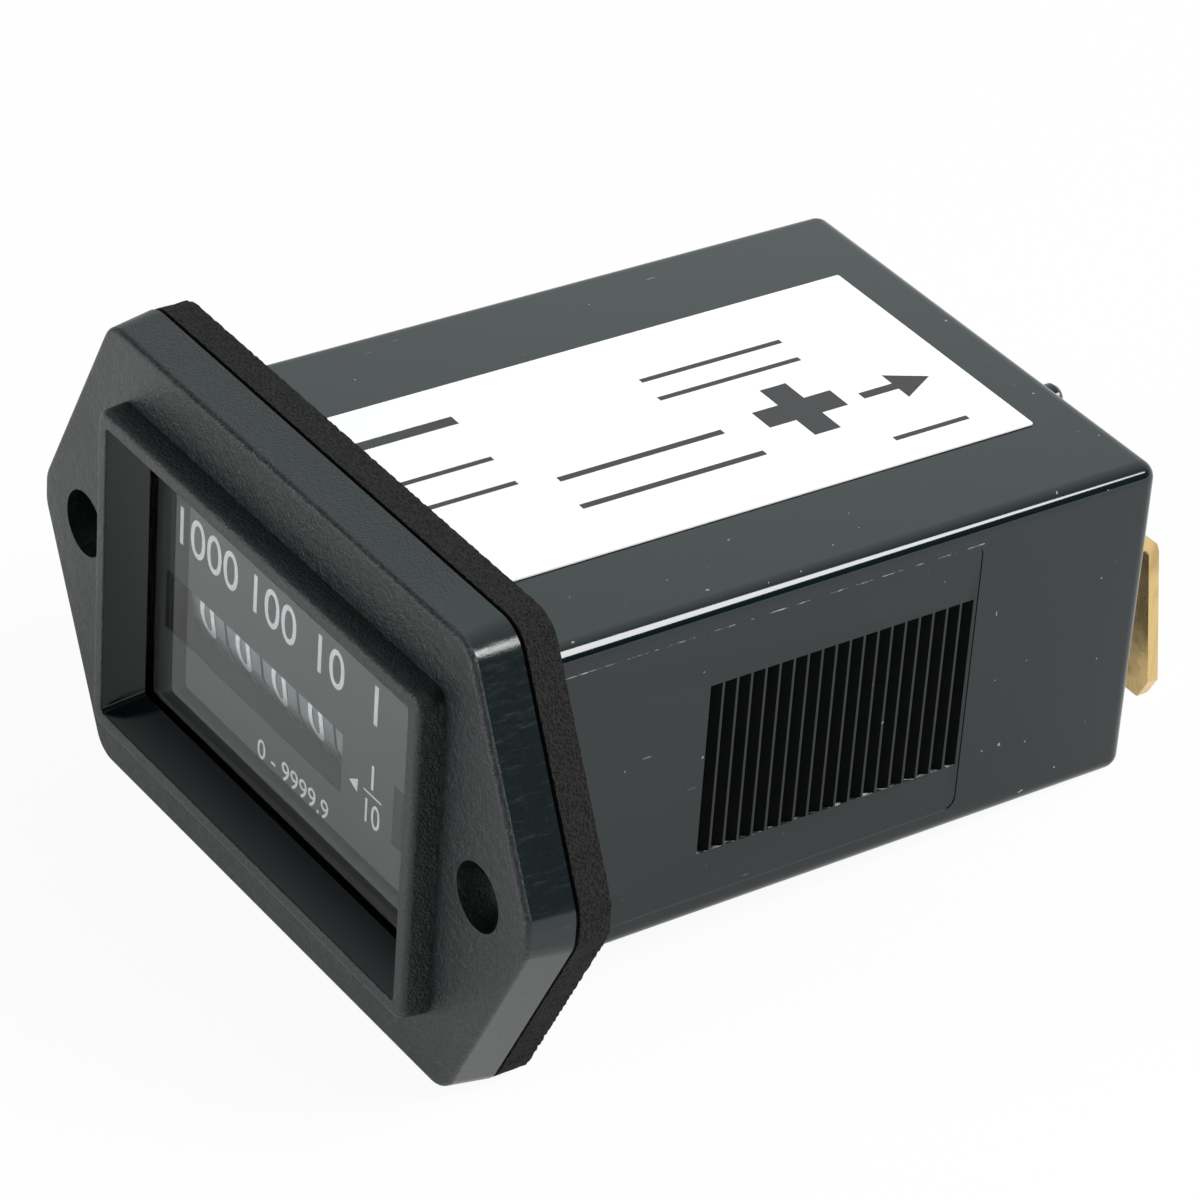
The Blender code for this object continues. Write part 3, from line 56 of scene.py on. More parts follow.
WELD = 1e-7
FACE_NUMBERS = 3
NOISE_BAND = (0.3, 0.7)
GRAIN_SCALE = 5200.0
Array = np.ndarray


class Axis(Enum):
    """Direction along which an outline is carried."""

    X = (1, 2, 0)
    Y = (0, 2, 1)
    Z = (0, 1, 2)


class Join(Enum):
    """How two solids are joined."""

    ADD = "UNION"
    CUT = "DIFFERENCE"


# Where things are

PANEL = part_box("gasket")[1][1]  # the panel's face, which is the gasket's rear face


def depth(distance: float) -> float:
    """Return the row-frame Y of a place measured from the panel's face.

    Args:
        distance: metres behind the panel face, negative in front.
    """
    return PANEL + distance


# Meshes and objects

def points_of(mesh: bpy.types.Mesh) -> Array:
    """Return a mesh's points, one row each."""
    points = np.empty(len(mesh.vertices) * 3)
    mesh.vertices.foreach_get("co", points)
    return points.reshape(-1, 3)


def move_points(mesh: bpy.types.Mesh, points: Array) -> None:
    """Put a mesh's points in new places."""
    mesh.vertices.foreach_set("co", points.reshape(-1))
    mesh.update()


def linked(name: str, data: bpy.types.ID) -> bpy.types.Object:
    """Return a new object that holds the data, linked into the scene."""
    item = bpy.data.objects.new(name, data)
    bpy.context.scene.collection.objects.link(item)
    return item


def evaluated_mesh(item: bpy.types.Object) -> bpy.types.Mesh:
    """Return a new mesh of an object with its modifiers applied."""
    bpy.context.view_layer.update()
    graph = bpy.context.evaluated_depsgraph_get()
    return bpy.data.meshes.new_from_object(item.evaluated_get(graph))


# Outlines and surfaces

def circle(centre: Sequence[float], radius: float, count: int = 64) -> Array:
    """Return points of a circle: centre plus radius times (cosine, sine) of even angles."""
    turn = np.arange(count) * 2 * np.pi / count
    return np.column_stack((centre[0] + radius * np.cos(turn),
                            centre[1] + radius * np.sin(turn)))


def quarter_round(radius: float, count: int = 9, share: float = 1.0) -> tuple[Array, Array]:
    """Return the inset and the remaining height of a quarter-round edge, from side to face.

    Args:
        radius: radius of the edge.
        count: number of points.
        share: share of the quarter turn that is gone through.
    """
    turn = np.linspace(0, np.pi / 2 * share, count)
    return radius * (1 - np.cos(turn)), radius * (1 - np.sin(turn))


def rounded(corners: Sequence[Sequence[float]], radii: Sequence[float], steps: int = 10) -> Array:
    """Return a convex outline with an arc in each corner.

    Each arc's centre lies on the corner's bisector, at radius over the sine of the half angle,
    and its points run evenly from one tangent point to the other.

    Args:
        corners: corner points in order.
        radii: radius of each corner.
        steps: points of an arc, less one.
    """
    points = np.asarray(corners, float)
    back = np.roll(points, 1, axis=0) - points
    ahead = np.roll(points, -1, axis=0) - points
    back /= np.linalg.norm(back, axis=1)[:, None]
    ahead /= np.linalg.norm(ahead, axis=1)[:, None]
    radius = np.asarray(radii, float)[:, None]
    half = np.arccos(np.clip((back * ahead).sum(axis=1), -1, 1))[:, None] / 2
    middle = back + ahead
    middle /= np.linalg.norm(middle, axis=1)[:, None]
    centre = points + middle * radius / np.sin(half)
    first = points + back * radius / np.tan(half) - centre
    last = points + ahead * radius / np.tan(half) - centre
    start = np.arctan2(first[:, 1], first[:, 0])[:, None]
    sweep = np.arctan2(last[:, 1], last[:, 0])[:, None] - start
    sweep = (sweep + np.pi) % (2 * np.pi) - np.pi
    angle = start + sweep * np.linspace(0, 1, steps + 1)[None, :]
    arc = np.stack((np.cos(angle), np.sin(angle)), axis=-1)
    return (centre[:, None, :] + radius[:, None, :] * arc).reshape(-1, 2)


def rounded_box(half_u: float, half_v: float, radius: float, steps: int = 10,
                centre: Sequence[float] = (0.0, 0.0)) -> Array:
    """Return a rectangle with round corners about a centre.

    Args:
        half_u: half size along the first direction.
        half_v: half size along the second direction.
        radius: corner radius.
        steps: points of a corner's arc, less one.
        centre: middle point.
    """
    corners = [(half_u, half_v), (-half_u, half_v), (-half_u, -half_v), (half_u, -half_v)]
    return rounded(corners, [radius] * 4, steps) + np.asarray(centre, float)


def carried(rings: Sequence[tuple[Array, float]], axis: Axis) -> Array:
    """Return a grid of points: each outline at its level, with one row for each ring.

    Args:
        rings: outlines of equal length, each with its level.
        axis: direction of the levels.
    """
    flat = np.stack([outline for outline, _ in rings])
    level = np.array([height for _, height in rings])[:, None]
    grid = np.empty(flat.shape[:2] + (3,))
    first, second, third = axis.value
    grid[..., first] = flat[..., 0]
    grid[..., second] = flat[..., 1]
    grid[..., third] = level
    return grid


def grid_mesh(name: str, grid: Array,
              material_of_row: Sequence[int] | None = None) -> bpy.types.Mesh:
    """Return a closed mesh of a grid whose columns close on themselves.

    Each face joins a point with its neighbours in the next column and the next row, and the
    first and the last row are closed with one face each.

    Args:
        name: name of the mesh.
        grid: rows by columns by 3 points.
        material_of_row: material number of each band of faces.
    """
    rows, columns = grid.shape[:2]
    number = np.arange(rows * columns).reshape(rows, columns)
    quads = np.stack((number[:-1], np.roll(number[:-1], -1, axis=1),
                      np.roll(number[1:], -1, axis=1), number[1:]), axis=-1)
    faces = quads.reshape(-1, 4).tolist()
    faces += [number[0][::-1].tolist(), number[-1].tolist()]
    mesh = bpy.data.meshes.new(name)
    mesh.from_pydata(grid.reshape(-1, 3), [], faces)
    if material_of_row is not None:
        numbers = np.repeat(np.asarray(material_of_row), columns)
        numbers = np.concatenate((numbers, np.zeros(len(faces) - len(numbers), int)))
        mesh.polygons.foreach_set("material_index", numbers.astype(np.int32))
    return outward(mesh)


def outward(mesh: bpy.types.Mesh) -> bpy.types.Mesh:
    """Weld a mesh and point its faces outwards."""
    work = bmesh.new()
    work.from_mesh(mesh)
    bmesh.ops.remove_doubles(work, verts=work.verts, dist=WELD)
    bmesh.ops.recalc_face_normals(work, faces=work.faces)
    work.to_mesh(mesh)
    work.free()
    return mesh


def prism(name: str, outline: Array, axis: Axis, low: float, high: float,
          material: int = 0) -> bpy.types.Mesh:
    """Return a closed solid of one outline between two levels.

    Args:
        name: name of the mesh.
        outline: points of the outline.
        axis: direction of the levels.
        low: first level.
        high: last level.
        material: material number of every face.
    """
    mesh = grid_mesh(name, carried([(outline, low), (outline, high)], axis))
    mesh.polygons.foreach_set("material_index", np.full(len(mesh.polygons), material, np.int32))
    return mesh


def corners(left: float, right: float, low: float, high: float) -> Array:
    """Return the corner points of a rectangle."""
    return np.array([(left, low), (right, low), (right, high), (left, high)])


def block(name: str, low: Sequence[float], high: Sequence[float]) -> bpy.types.Mesh:
    """Return a plain block between two corners."""
    return prism(name, corners(low[0], high[0], low[1], high[1]), Axis.Z, low[2], high[2])


def blank(number: int) -> bpy.types.Material:
    """Return the stand-in material of a number, which keeps face numbers apart in a Boolean."""
    name = f"blank_{number}"
    return bpy.data.materials.get(name) or bpy.data.materials.new(name)


def joined(name: str, base: bpy.types.Mesh, others: Sequence[bpy.types.Mesh],
           join: Join) -> bpy.types.Mesh:
    """Return the exact union or cut of meshes as a new mesh.

    Args:
        name: name of the new mesh.
        base: mesh that is added to or cut.
        others: meshes that are added or cut away.
        join: what is done with them.
    """
    for mesh in (base, *others):
        while len(mesh.materials) < FACE_NUMBERS:
            mesh.materials.append(blank(len(mesh.materials)))
    body = linked(name, base)
    helpers = [linked(f"{name}_tool_{number}", other) for number, other in enumerate(others)]
    for number, helper in enumerate(helpers):
        step = body.modifiers.new(f"step_{number}", "BOOLEAN")
        step.operation = join.value
        step.solver = "EXACT"
        step.object = helper
    result = evaluated_mesh(body)
    for item in [body, *helpers]:
        bpy.data.objects.remove(item, do_unlink=True)
    return outward(result)


# Finishes

Socket = bpy.types.NodeSocket
EVEN = (1.0, 1.0, 1.0)
MIX_FIRST, MIX_SECOND, MIX_COLOUR = 6, 7, 2  # a mix node's colour sockets, by number


def fill(node: bpy.types.Node, values: dict[str, float | Sequence[float]]) -> None:
    """Set plain values on a node's inputs, with spaces in a name written as underscores."""
    for key, value in values.items():
        node.inputs[key.replace("_", " ")].default_value = value


def add_node(tree: bpy.types.NodeTree, kind: str,
             **values: float | Sequence[float]) -> bpy.types.Node:
    """Return a new shader node with plain values on its inputs."""
    made = tree.nodes.new("ShaderNode" + kind)
    fill(made, values)
    return made


def add_math(tree: bpy.types.NodeTree, operation: str, first: Socket,
             second: Socket | float) -> Socket:
    """Return the result of an operation on a value and another value or number."""
    made = add_node(tree, "Math")
    made.operation = operation
    tree.links.new(first, made.inputs[0])
    if isinstance(second, Socket):
        tree.links.new(second, made.inputs[1])
    else:
        made.inputs[1].default_value = second
    return made.outputs[0]


def add_mix(tree: bpy.types.NodeTree, factor: Socket, first: Socket | Sequence[float],
            second: Sequence[float]) -> Socket:
    """Return a colour between a colour or an output and another colour."""
    made = add_node(tree, "Mix")
    made.data_type = "RGBA"
    tree.links.new(factor, made.inputs["Factor"])
    if isinstance(first, Socket):
        tree.links.new(first, made.inputs[MIX_FIRST])
    else:
        made.inputs[MIX_FIRST].default_value = (*first, 1.0)
    made.inputs[MIX_SECOND].default_value = (*second, 1.0)
    return made.outputs[MIX_COLOUR]


class Sheet:
    """A material under construction, with its Principled shader and short ways to add nodes."""

    def __init__(self, name: str) -> None:
        """Start an empty material of that name."""
        self.material = bpy.data.materials.new(name)
        self.material.use_nodes = True
        self.tree = self.material.node_tree
        self.shader = self.tree.nodes["Principled BSDF"]
        self.output = self.tree.nodes["Material Output"]
        self.place = self.tree.nodes.new("ShaderNodeTexCoord").outputs["Object"]

    def link(self, start: Socket, end: Socket) -> None:
        """Join an output to an input."""
        self.tree.links.new(start, end)

    def node(self, kind: str, **values: float | Sequence[float]) -> bpy.types.Node:
        """Return a new node with plain values on its inputs."""
        return add_node(self.tree, kind, **values)

    def set(self, **values: float | Sequence[float]) -> None:
        """Set plain values on the shader's inputs."""
        fill(self.shader, values)

    def stretched(self, stretch: Sequence[float]) -> Socket:
        """Return the place on the piece, scaled by an amount of its own along each axis."""
        bend = self.node("Mapping", Scale=stretch)
        self.link(self.place, bend.inputs["Vector"])
        return bend.outputs["Vector"]

    def noise(self, scale: float, detail: float = 3.0, stretch: Sequence[float] = EVEN,
              roughness: float = 0.55) -> Socket:
        """Return a noise value over the piece, with a scale of its own along each axis."""
        made = self.node("TexNoise", Scale=scale, Detail=detail, Roughness=roughness)
        self.link(self.stretched(stretch), made.inputs["Vector"])
        return made.outputs["Fac"]

    def cells(self, scale: float, stretch: Sequence[float] = EVEN, kind: str = "F1") -> Socket:
        """Return the distance to the nearest cell centre or cell edge."""
        made = self.node("TexVoronoi")
        made.feature = kind
        made.inputs["Scale"].default_value = scale
        self.link(self.stretched(stretch), made.inputs["Vector"])
        return made.outputs["Distance"]

    def waves(self, scale: float, direction: str, distortion: float = 0.0) -> Socket:
        """Return straight bands along a direction."""
        made = self.node("TexWave", Scale=scale, Distortion=distortion)
        made.bands_direction = direction
        self.link(self.place, made.inputs["Vector"])
        return made.outputs["Fac"]

    def span(self, value: Socket, low: float, high: float, start: float, end: float) -> Socket:
        """Return a value clamped between low and high and spread from start to end."""
        made = self.node("MapRange", From_Min=low, From_Max=high, To_Min=start, To_Max=end)
        self.link(value, made.inputs["Value"])
        return made.outputs["Result"]

    def between(self, noise: Socket, start: float = 0.0, end: float = 1.0) -> Socket:
        """Return a noise with its usual range spread from start to end."""
        return self.span(noise, *NOISE_BAND, start, end)

    def sum(self, first: Socket, second: Socket | float, operation: str = "ADD") -> Socket:
        """Return two values added, or joined by another operation."""
        return add_math(self.tree, operation, first, second)

    def blend(self, factor: Socket, first: Sequence[float], second: Sequence[float]) -> Socket:
        """Return a colour between two colours."""
        return add_mix(self.tree, factor, first, second)

    def overlay(self, factor: Socket, under: Socket, top: Sequence[float]) -> Socket:
        """Return a colour laid over another by a factor."""
        return add_mix(self.tree, factor, under, top)

    def bump(self, height: Socket, distance: float, strength: float = 1.0) -> None:
        """Give the shader a bump of a real height in metres."""
        made = self.node("Bump", Distance=distance, Strength=strength)
        self.link(height, made.inputs["Height"])
        self.link(made.outputs["Normal"], self.shader.inputs["Normal"])

    def colour(self, value: Socket) -> None:
        """Feed the base colour."""
        self.link(value, self.shader.inputs["Base Color"])

    def roughness(self, value: Socket) -> None:
        """Feed the roughness."""
        self.link(value, self.shader.inputs["Roughness"])


@dataclass(frozen=True)
class Finish:
    """Base of every finish: a name, a main colour, a roughness and a mirrored share."""

    name: str
    tone: tuple[float, float, float]
    gloss: float
    mirror: float = 0.5

    def make(self) -> bpy.types.Material:
        """Return the material, made once."""
        found = bpy.data.materials.get(self.name)
        return found if found is not None else self.build()

    def shade(self, factor: float) -> tuple[float, float, float]:
        """Return the main colour times a factor."""
        return tuple(min(1.0, channel * factor) for channel in self.tone)

    def build(self) -> bpy.types.Material:
        """Return a plain moulded finish with slight mottling."""
        sheet = Sheet(self.name)
        patch = sheet.noise(900.0, 4.0)
        sheet.colour(sheet.blend(sheet.between(patch), self.shade(0.85), self.shade(1.15)))
        sheet.roughness(sheet.between(patch, self.gloss * 0.85, self.gloss * 1.2))
        sheet.set(Specular_IOR_Level=self.mirror)
        sheet.bump(sheet.noise(GRAIN_SCALE, 2.0), 0.006 * MM)
        return sheet.material


@dataclass(frozen=True)
class SparkTexture(Finish):
    """Black plastic with a fine spark-eroded grain, its high points painted lighter as painted
    highlights.
    """

    def build(self) -> bpy.types.Material:
        """Return the grained finish."""
        sheet = Sheet(self.name)
        grain = sheet.noise(GRAIN_SCALE, 4.0, roughness=0.62)
        coarse = sheet.noise(1500.0, 3.0)
        mottle = sheet.noise(160.0, 3.0)
        # Painted highlight: the grain's high points are painted lighter, standing in for glints of
        # light on them.
        high = sheet.span(grain, 0.54, 0.72, 0.0, 1.0)
        ground = sheet.blend(high, self.tone, self.shade(4.5))
        dust = sheet.span(sheet.noise(2600.0, 1.0, roughness=0.3), 0.80, 0.84, 0.0, 0.55)
        sheet.colour(sheet.overlay(dust, ground, (0.16, 0.16, 0.155)))
        sheet.roughness(sheet.sum(sheet.between(coarse, self.gloss * 0.9, self.gloss * 1.05),
                                  sheet.span(mottle, 0.35, 0.7, -0.04, 0.05)))
        sheet.bump(sheet.sum(grain, coarse), 0.1 * MM, 0.9)
        return sheet.material


@dataclass(frozen=True)
class RubbedSide(Finish):
    """Side of the flange: grained, and rubbed smooth with upright drag marks towards one end,
    painted lighter there as painted sheen.
    """

    start: float = 13.0 * MM
    end: float = 19.0 * MM

    def build(self) -> bpy.types.Material:
        """Return the rubbed finish."""
        sheet = Sheet(self.name)
        split = sheet.tree.nodes.new("ShaderNodeSeparateXYZ")
        sheet.link(sheet.place, split.inputs[0])
        rubbed = sheet.span(split.outputs[0], self.start, self.end, 0.0, 1.0)
        grained = sheet.span(split.outputs[0], self.start, self.end, 1.0, 0.10)
        grain = sheet.noise(GRAIN_SCALE, 4.0, roughness=0.62)
        drag = sheet.noise(2600.0, 4.0, (1.0, 0.10, 1.0), 0.7)
        sheen_streak = sheet.sum(sheet.span(drag, 0.52, 0.70, 0.0, 0.6), rubbed, "MULTIPLY")
        ground = sheet.blend(grain, self.shade(0.6), self.shade(2.4))
        # Painted sheen: the drag streaks towards the rubbed end are painted lighter.
        sheet.colour(sheet.overlay(sheen_streak, ground, self.shade(3.0)))
        sheet.roughness(sheet.sum(sheet.span(rubbed, 0.0, 1.0, self.gloss, self.gloss * 0.5),
                                  sheet.span(sheen_streak, 0.0, 1.0, 0.0, 0.22)))
        sheet.bump(sheet.sum(grain, grained, "MULTIPLY"), 0.09 * MM, 0.8)
        return sheet.material


@dataclass(frozen=True)
class EdgeGlintFlecks(Finish):
    """Thin line along a moulding's small round edge: painted highlight, broken into light flecks
    that are partly burr flakes.
    """

    def build(self) -> bpy.types.Material:
        """Return the painted edge highlight finish."""
        sheet = Sheet(self.name)
        fleck = sheet.noise(1400.0, 4.0, (1.0, 0.5, 1.0), 0.7)
        light = sheet.span(fleck, 0.47, 0.62, 0.0, 1.0)
        sheet.colour(sheet.blend(light, self.shade(0.03), self.tone))
        sheet.set(Roughness=self.gloss)
        return sheet.material


@dataclass(frozen=True)
class PolishedWall(Finish):
    """Smooth black plastic of the well, with fine drag lines along the moulding's draw."""

    def build(self) -> bpy.types.Material:
        """Return the polished finish."""
        sheet = Sheet(self.name)
        drag = sheet.noise(2600.0, 3.0, (1.0, 0.03, 1.0))
        sheet.set(Base_Color=(*self.tone, 1.0))
        sheet.roughness(sheet.between(drag, self.gloss * 0.8, self.gloss * 1.4))
        sheet.bump(drag, 0.004 * MM, 0.5)
        return sheet.material


@dataclass(frozen=True)
class GlossMoulding(Finish):
    """Glossy black case with a slow ripple, hair scratches and dust."""

    def build(self) -> bpy.types.Material:
        """Return the glossy finish."""
        sheet = Sheet(self.name)
        ripple = sheet.noise(70.0, 2.0)
        hair = sheet.noise(2400.0, 2.0, (1.0, 0.12, 1.0))
        line = sheet.span(hair, 0.765, 0.785, 0.0, 0.5)
        dust = sheet.span(sheet.noise(2100.0, 1.0, roughness=0.3), 0.80, 0.82, 0.0, 1.0)
        mark = sheet.sum(line, dust, "MAXIMUM")
        cover = sheet.span(mark, 0.0, 1.0, 0.0, 0.8)
        sheet.colour(sheet.blend(cover, self.tone, (0.30, 0.30, 0.30)))
        sheet.roughness(sheet.sum(sheet.between(ripple, self.gloss, self.gloss * 1.5),
                                  sheet.span(mark, 0.0, 1.0, 0.0, 0.25)))
        sheet.bump(sheet.sum(ripple, sheet.span(mark, 0.0, 1.0, 0.0, 0.02)), 0.06 * MM, 0.25)
        return sheet.material


@dataclass(frozen=True)
class OpenFoam(Finish):
    """Black-brown open-cell foam: pits painted dark as painted shade, between lighter cell walls.
    """

    def build(self) -> bpy.types.Material:
        """Return the foam finish."""
        sheet = Sheet(self.name)
        pits = sheet.cells(GRAIN_SCALE)
        fine = sheet.noise(7000.0, 3.0)
        pit_shade_mask = sheet.span(sheet.sum(pits, fine), 0.55, 1.15, 0.0, 1.0)
        # Painted shade: the pits are painted dark and the cell walls lighter.
        sheet.colour(sheet.blend(pit_shade_mask, self.shade(0.35), self.shade(1.8)))
        sheet.set(Roughness=self.gloss, Specular_IOR_Level=0.25)
        sheet.bump(sheet.sum(pits, fine), 0.16 * MM, 0.9)
        return sheet.material


@dataclass(frozen=True)
class PrintedFilm(Finish):
    """White coated film with a faint grain."""

    def build(self) -> bpy.types.Material:
        """Return the film finish."""
        sheet = Sheet(self.name)
        patch = sheet.noise(60.0, 3.0)
        sheet.colour(sheet.blend(sheet.between(patch), self.shade(0.985), self.tone))
        sheet.roughness(sheet.between(patch, self.gloss * 0.9, self.gloss * 1.1))
        sheet.bump(sheet.noise(3800.0, 2.0), 0.004 * MM, 0.5)
        return sheet.material


@dataclass(frozen=True)
class Ink(Finish):
    """Printed ink with slightly uneven cover."""

    def build(self) -> bpy.types.Material:
        """Return the ink finish."""
        sheet = Sheet(self.name)
        cover = sheet.span(sheet.noise(3000.0, 4.0), 0.45, 0.75, 0.0, 1.0)
        sheet.colour(sheet.blend(cover, self.tone, self.shade(1.25)))
        sheet.set(Roughness=self.gloss)
        return sheet.material


@dataclass(frozen=True)
class WindowPane(Finish):
    """Clear flat pane: light passes straight through, and each face mirrors by its angle.

    The mirrored share is the straight-on share, plus the rest times the fifth power of one less
    the cosine of the angle.
    """

    index: float = 1.49
    power: float = 5.0

    def build(self) -> bpy.types.Material:
        """Return the pane finish."""
        sheet = Sheet(self.name)
        sheet.tree.nodes.remove(sheet.shader)
        clear = sheet.node("BsdfTransparent", Color=(*self.tone, 1.0))
        mirror = sheet.node("BsdfGlossy", Roughness=self.gloss, Color=(*EVEN, 1.0))
        angle = sheet.node("LayerWeight", Blend=0.5)
        steep = sheet.sum(angle.outputs["Facing"], self.power, "POWER")
        straight = ((self.index - 1) / (self.index + 1)) ** 2
        mix = sheet.node("MixShader")
        sheet.link(sheet.span(steep, 0.0, 1.0, straight, 1.0), mix.inputs["Fac"])
        sheet.link(clear.outputs["BSDF"], mix.inputs[1])
        sheet.link(mirror.outputs["BSDF"], mix.inputs[2])
        sheet.link(mix.outputs["Shader"], sheet.output.inputs["Surface"])
        return sheet.material


@dataclass(frozen=True)
class RolledMetal(Finish):
    """Rolled strip metal with fine lines along one axis and patches of tarnish."""

    stain: tuple[float, float, float] = (0.2, 0.2, 0.2)
    amount: float = 0.3

    def build(self) -> bpy.types.Material:
        """Return the metal finish."""
        sheet = Sheet(self.name)
        lines = sheet.noise(3000.0, 3.0, (1.0, 1.0, 0.04))
        patch = sheet.span(sheet.noise(420.0, 4.0), 0.45, 0.75, 0.0, self.amount)
        ground = sheet.blend(sheet.between(lines), self.shade(0.88), self.shade(1.08))
        sheet.colour(sheet.overlay(patch, ground, self.stain))
        sheet.set(Metallic=1.0)
        rough = sheet.between(lines, self.gloss * 0.8, self.gloss * 1.3)
        sheet.roughness(sheet.sum(rough, patch))
        sheet.bump(lines, 0.004 * MM, 0.5)
        return sheet.material


@dataclass(frozen=True)
class WoundWire(Finish):
    """Enamelled wire laid turn by turn round the coil, with painted shade in the creases between
    turns.
    """

    pitch: float = 0.12 * MM

    def build(self) -> bpy.types.Material:
        """Return the winding finish."""
        sheet = Sheet(self.name)
        turns_with_crease_shade = sheet.waves(math.pi / self.pitch / 10, "Z", 0.4)
        # Painted shade: the creases between turns are painted dark.
        sheet.colour(sheet.blend(turns_with_crease_shade, self.shade(0.35), self.tone))
        sheet.set(Metallic=1.0, Roughness=self.gloss)
        sheet.bump(turns_with_crease_shade, 0.04 * MM)
        return sheet.material


@dataclass(frozen=True)
class Laminate(Finish):
    """Green circuit laminate with a woven ground and lighter tracks."""

    def build(self) -> bpy.types.Material:
        """Return the laminate finish."""
        sheet = Sheet(self.name)
        weave = sheet.sum(sheet.waves(900.0, "X"), sheet.waves(900.0, "Y"))
        edge = sheet.cells(260.0, (1.0, 1.0, 0.02), "DISTANCE_TO_EDGE")
        track = sheet.span(edge, 0.05, 0.07, 1.0, 0.0)
        cover = sheet.span(weave, 0.4, 1.6, 0.0, 1.0)
        ground = sheet.blend(cover, self.shade(0.8), self.shade(1.1))
        sheet.colour(sheet.overlay(track, ground, self.shade(2.0)))
        sheet.set(Roughness=self.gloss)
        sheet.bump(track, 0.03 * MM)
        return sheet.material


GRAIN = SparkTexture("bezel_grain", (0.0055, 0.0085, 0.0090), 0.34)
WALL = PolishedWall("well_wall", (0.0020, 0.0040, 0.0043), 0.10)
CASE = GlossMoulding("case_gloss", (0.0015, 0.0060, 0.0064), 0.06)
SIDE = RubbedSide("flange_side", (0.0055, 0.0085, 0.0090), 0.34)
# Light flecks along edges: painted highlight, partly burr flakes.
EDGE_GLINT = EdgeGlintFlecks("edge_glint_flecks", (0.42, 0.43, 0.43), 0.5)
# Near-black with almost no mirror: painted shade standing in for the dark reflections that the
# teeth show.
RACK_SHADE = Finish("rack_painted_shade", (0.0009, 0.0011, 0.0012), 0.60, 0.03)
FOAM = OpenFoam("gasket_foam", (0.0100, 0.0096, 0.0092), 0.95)
FILM = PrintedFilm("label_film", (0.88, 0.885, 0.885), 0.36)
BLACK_INK = Ink("label_ink", (0.020, 0.018, 0.019), 0.40)
WHITE_INK = Ink("dial_print_ink", (0.55, 0.57, 0.57), 0.45)
MASK_INK = Ink("dial_mask_ink", (0.004, 0.005, 0.0052), 0.60)
DIAL = Finish("dial_plate_grey", (0.02, 0.022, 0.023), 0.55)
PANE = WindowPane("window_pane", (0.97, 0.98, 0.98), 0.012)
WHEEL = Finish("number_wheel_grey", (0.21, 0.24, 0.245), 0.45)
FIGURE = Ink("wheel_figure_white", (0.80, 0.82, 0.82), 0.45)
NYLON = Finish("natural_nylon", (0.62, 0.60, 0.54), 0.45)
CHASSIS = Finish("movement_moulding", (0.07, 0.07, 0.075), 0.50)
STEEL = RolledMetal("plain_steel", (0.56, 0.57, 0.58), 0.28,
                    stain=(0.25, 0.24, 0.22), amount=0.2)
MAGNET = Finish("sintered_magnet", (0.10, 0.095, 0.09), 0.60)
COPPER = WoundWire("wound_copper", (0.72, 0.30, 0.14), 0.35)
BRASS = RolledMetal("blade_brass", (0.78, 0.56, 0.25), 0.24,
                    stain=(0.20, 0.13, 0.05), amount=0.35)
BOARD = Laminate("board_laminate", (0.02, 0.12, 0.05), 0.45)
CHIP = Finish("black_package", (0.018, 0.018, 0.018), 0.50)
SLEEVE = Finish("capacitor_sleeve", (0.02, 0.03, 0.10), 0.30)
CERAMIC = Finish("resistor_lacquer", (0.42, 0.30, 0.18), 0.50)

FINISH_NODES: tuple[tuple[Finish, tuple[str, ...]], ...] = (
    (DIAL, ("dial_plate",)), (PANE, ("lens",)),
    (STEEL, ("pinion_carrier_1", "pinion_carrier_2", "pinion_carrier_3", "pinion_carrier_4",
             "wheel_shaft", "stator", "coil_core", "bearing_plate", "quartz_crystal")),
    (NYLON, ("transfer_pinion_1", "transfer_pinion_2", "transfer_pinion_3", "transfer_pinion_4",
             "second_wheel", "third_wheel", "run_indicator", "rotor_pinion", "coil_bobbin")),
    (MAGNET, ("rotor_magnet",)), (COPPER, ("coil_winding",)), (CHASSIS, ("movement_frame",)),
    (BOARD, ("circuit_board",)), (CHIP, ("driver_chip", "diode")), (SLEEVE, ("capacitor",)),
    (CERAMIC, ("resistor",)), (BRASS, ("terminal_positive", "terminal_negative")),
    (WHEEL, ("wheel_thousands", "wheel_hundreds", "wheel_tens", "wheel_units",
             "wheel_tenths")),
)


def piece(name: str, mesh: bpy.types.Mesh, finishes: Sequence[Finish], body: str,
          replaces: Sequence[str] = (), smooth: float = 30.0) -> bpy.types.Object:
    """Return a finished piece that rides on a body.

    Args:
        name: name of the piece.
        mesh: its mesh, in the row frame.
        finishes: a finish for each material number.
        body: body that carries it.
        replaces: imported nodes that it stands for.
        smooth: angle in degrees under which an edge is shaded round.
    """
    mesh.name = name
    numbers = np.zeros(len(mesh.polygons), np.int32)
    mesh.polygons.foreach_get("material_index", numbers)
    mesh.materials.clear()
    for finish in finishes:
        mesh.materials.append(finish.make())
    mesh.polygons.foreach_set("material_index", np.minimum(numbers, len(finishes) - 1))
    mesh.shade_smooth()
    mesh.set_sharp_from_angle(angle=math.radians(smooth))
    item = linked(name, mesh)
    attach(item, body)
    if replaces:
        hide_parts(*replaces)
    LOG.info("%s on %s, %d faces", name, body, len(mesh.polygons))
    return item


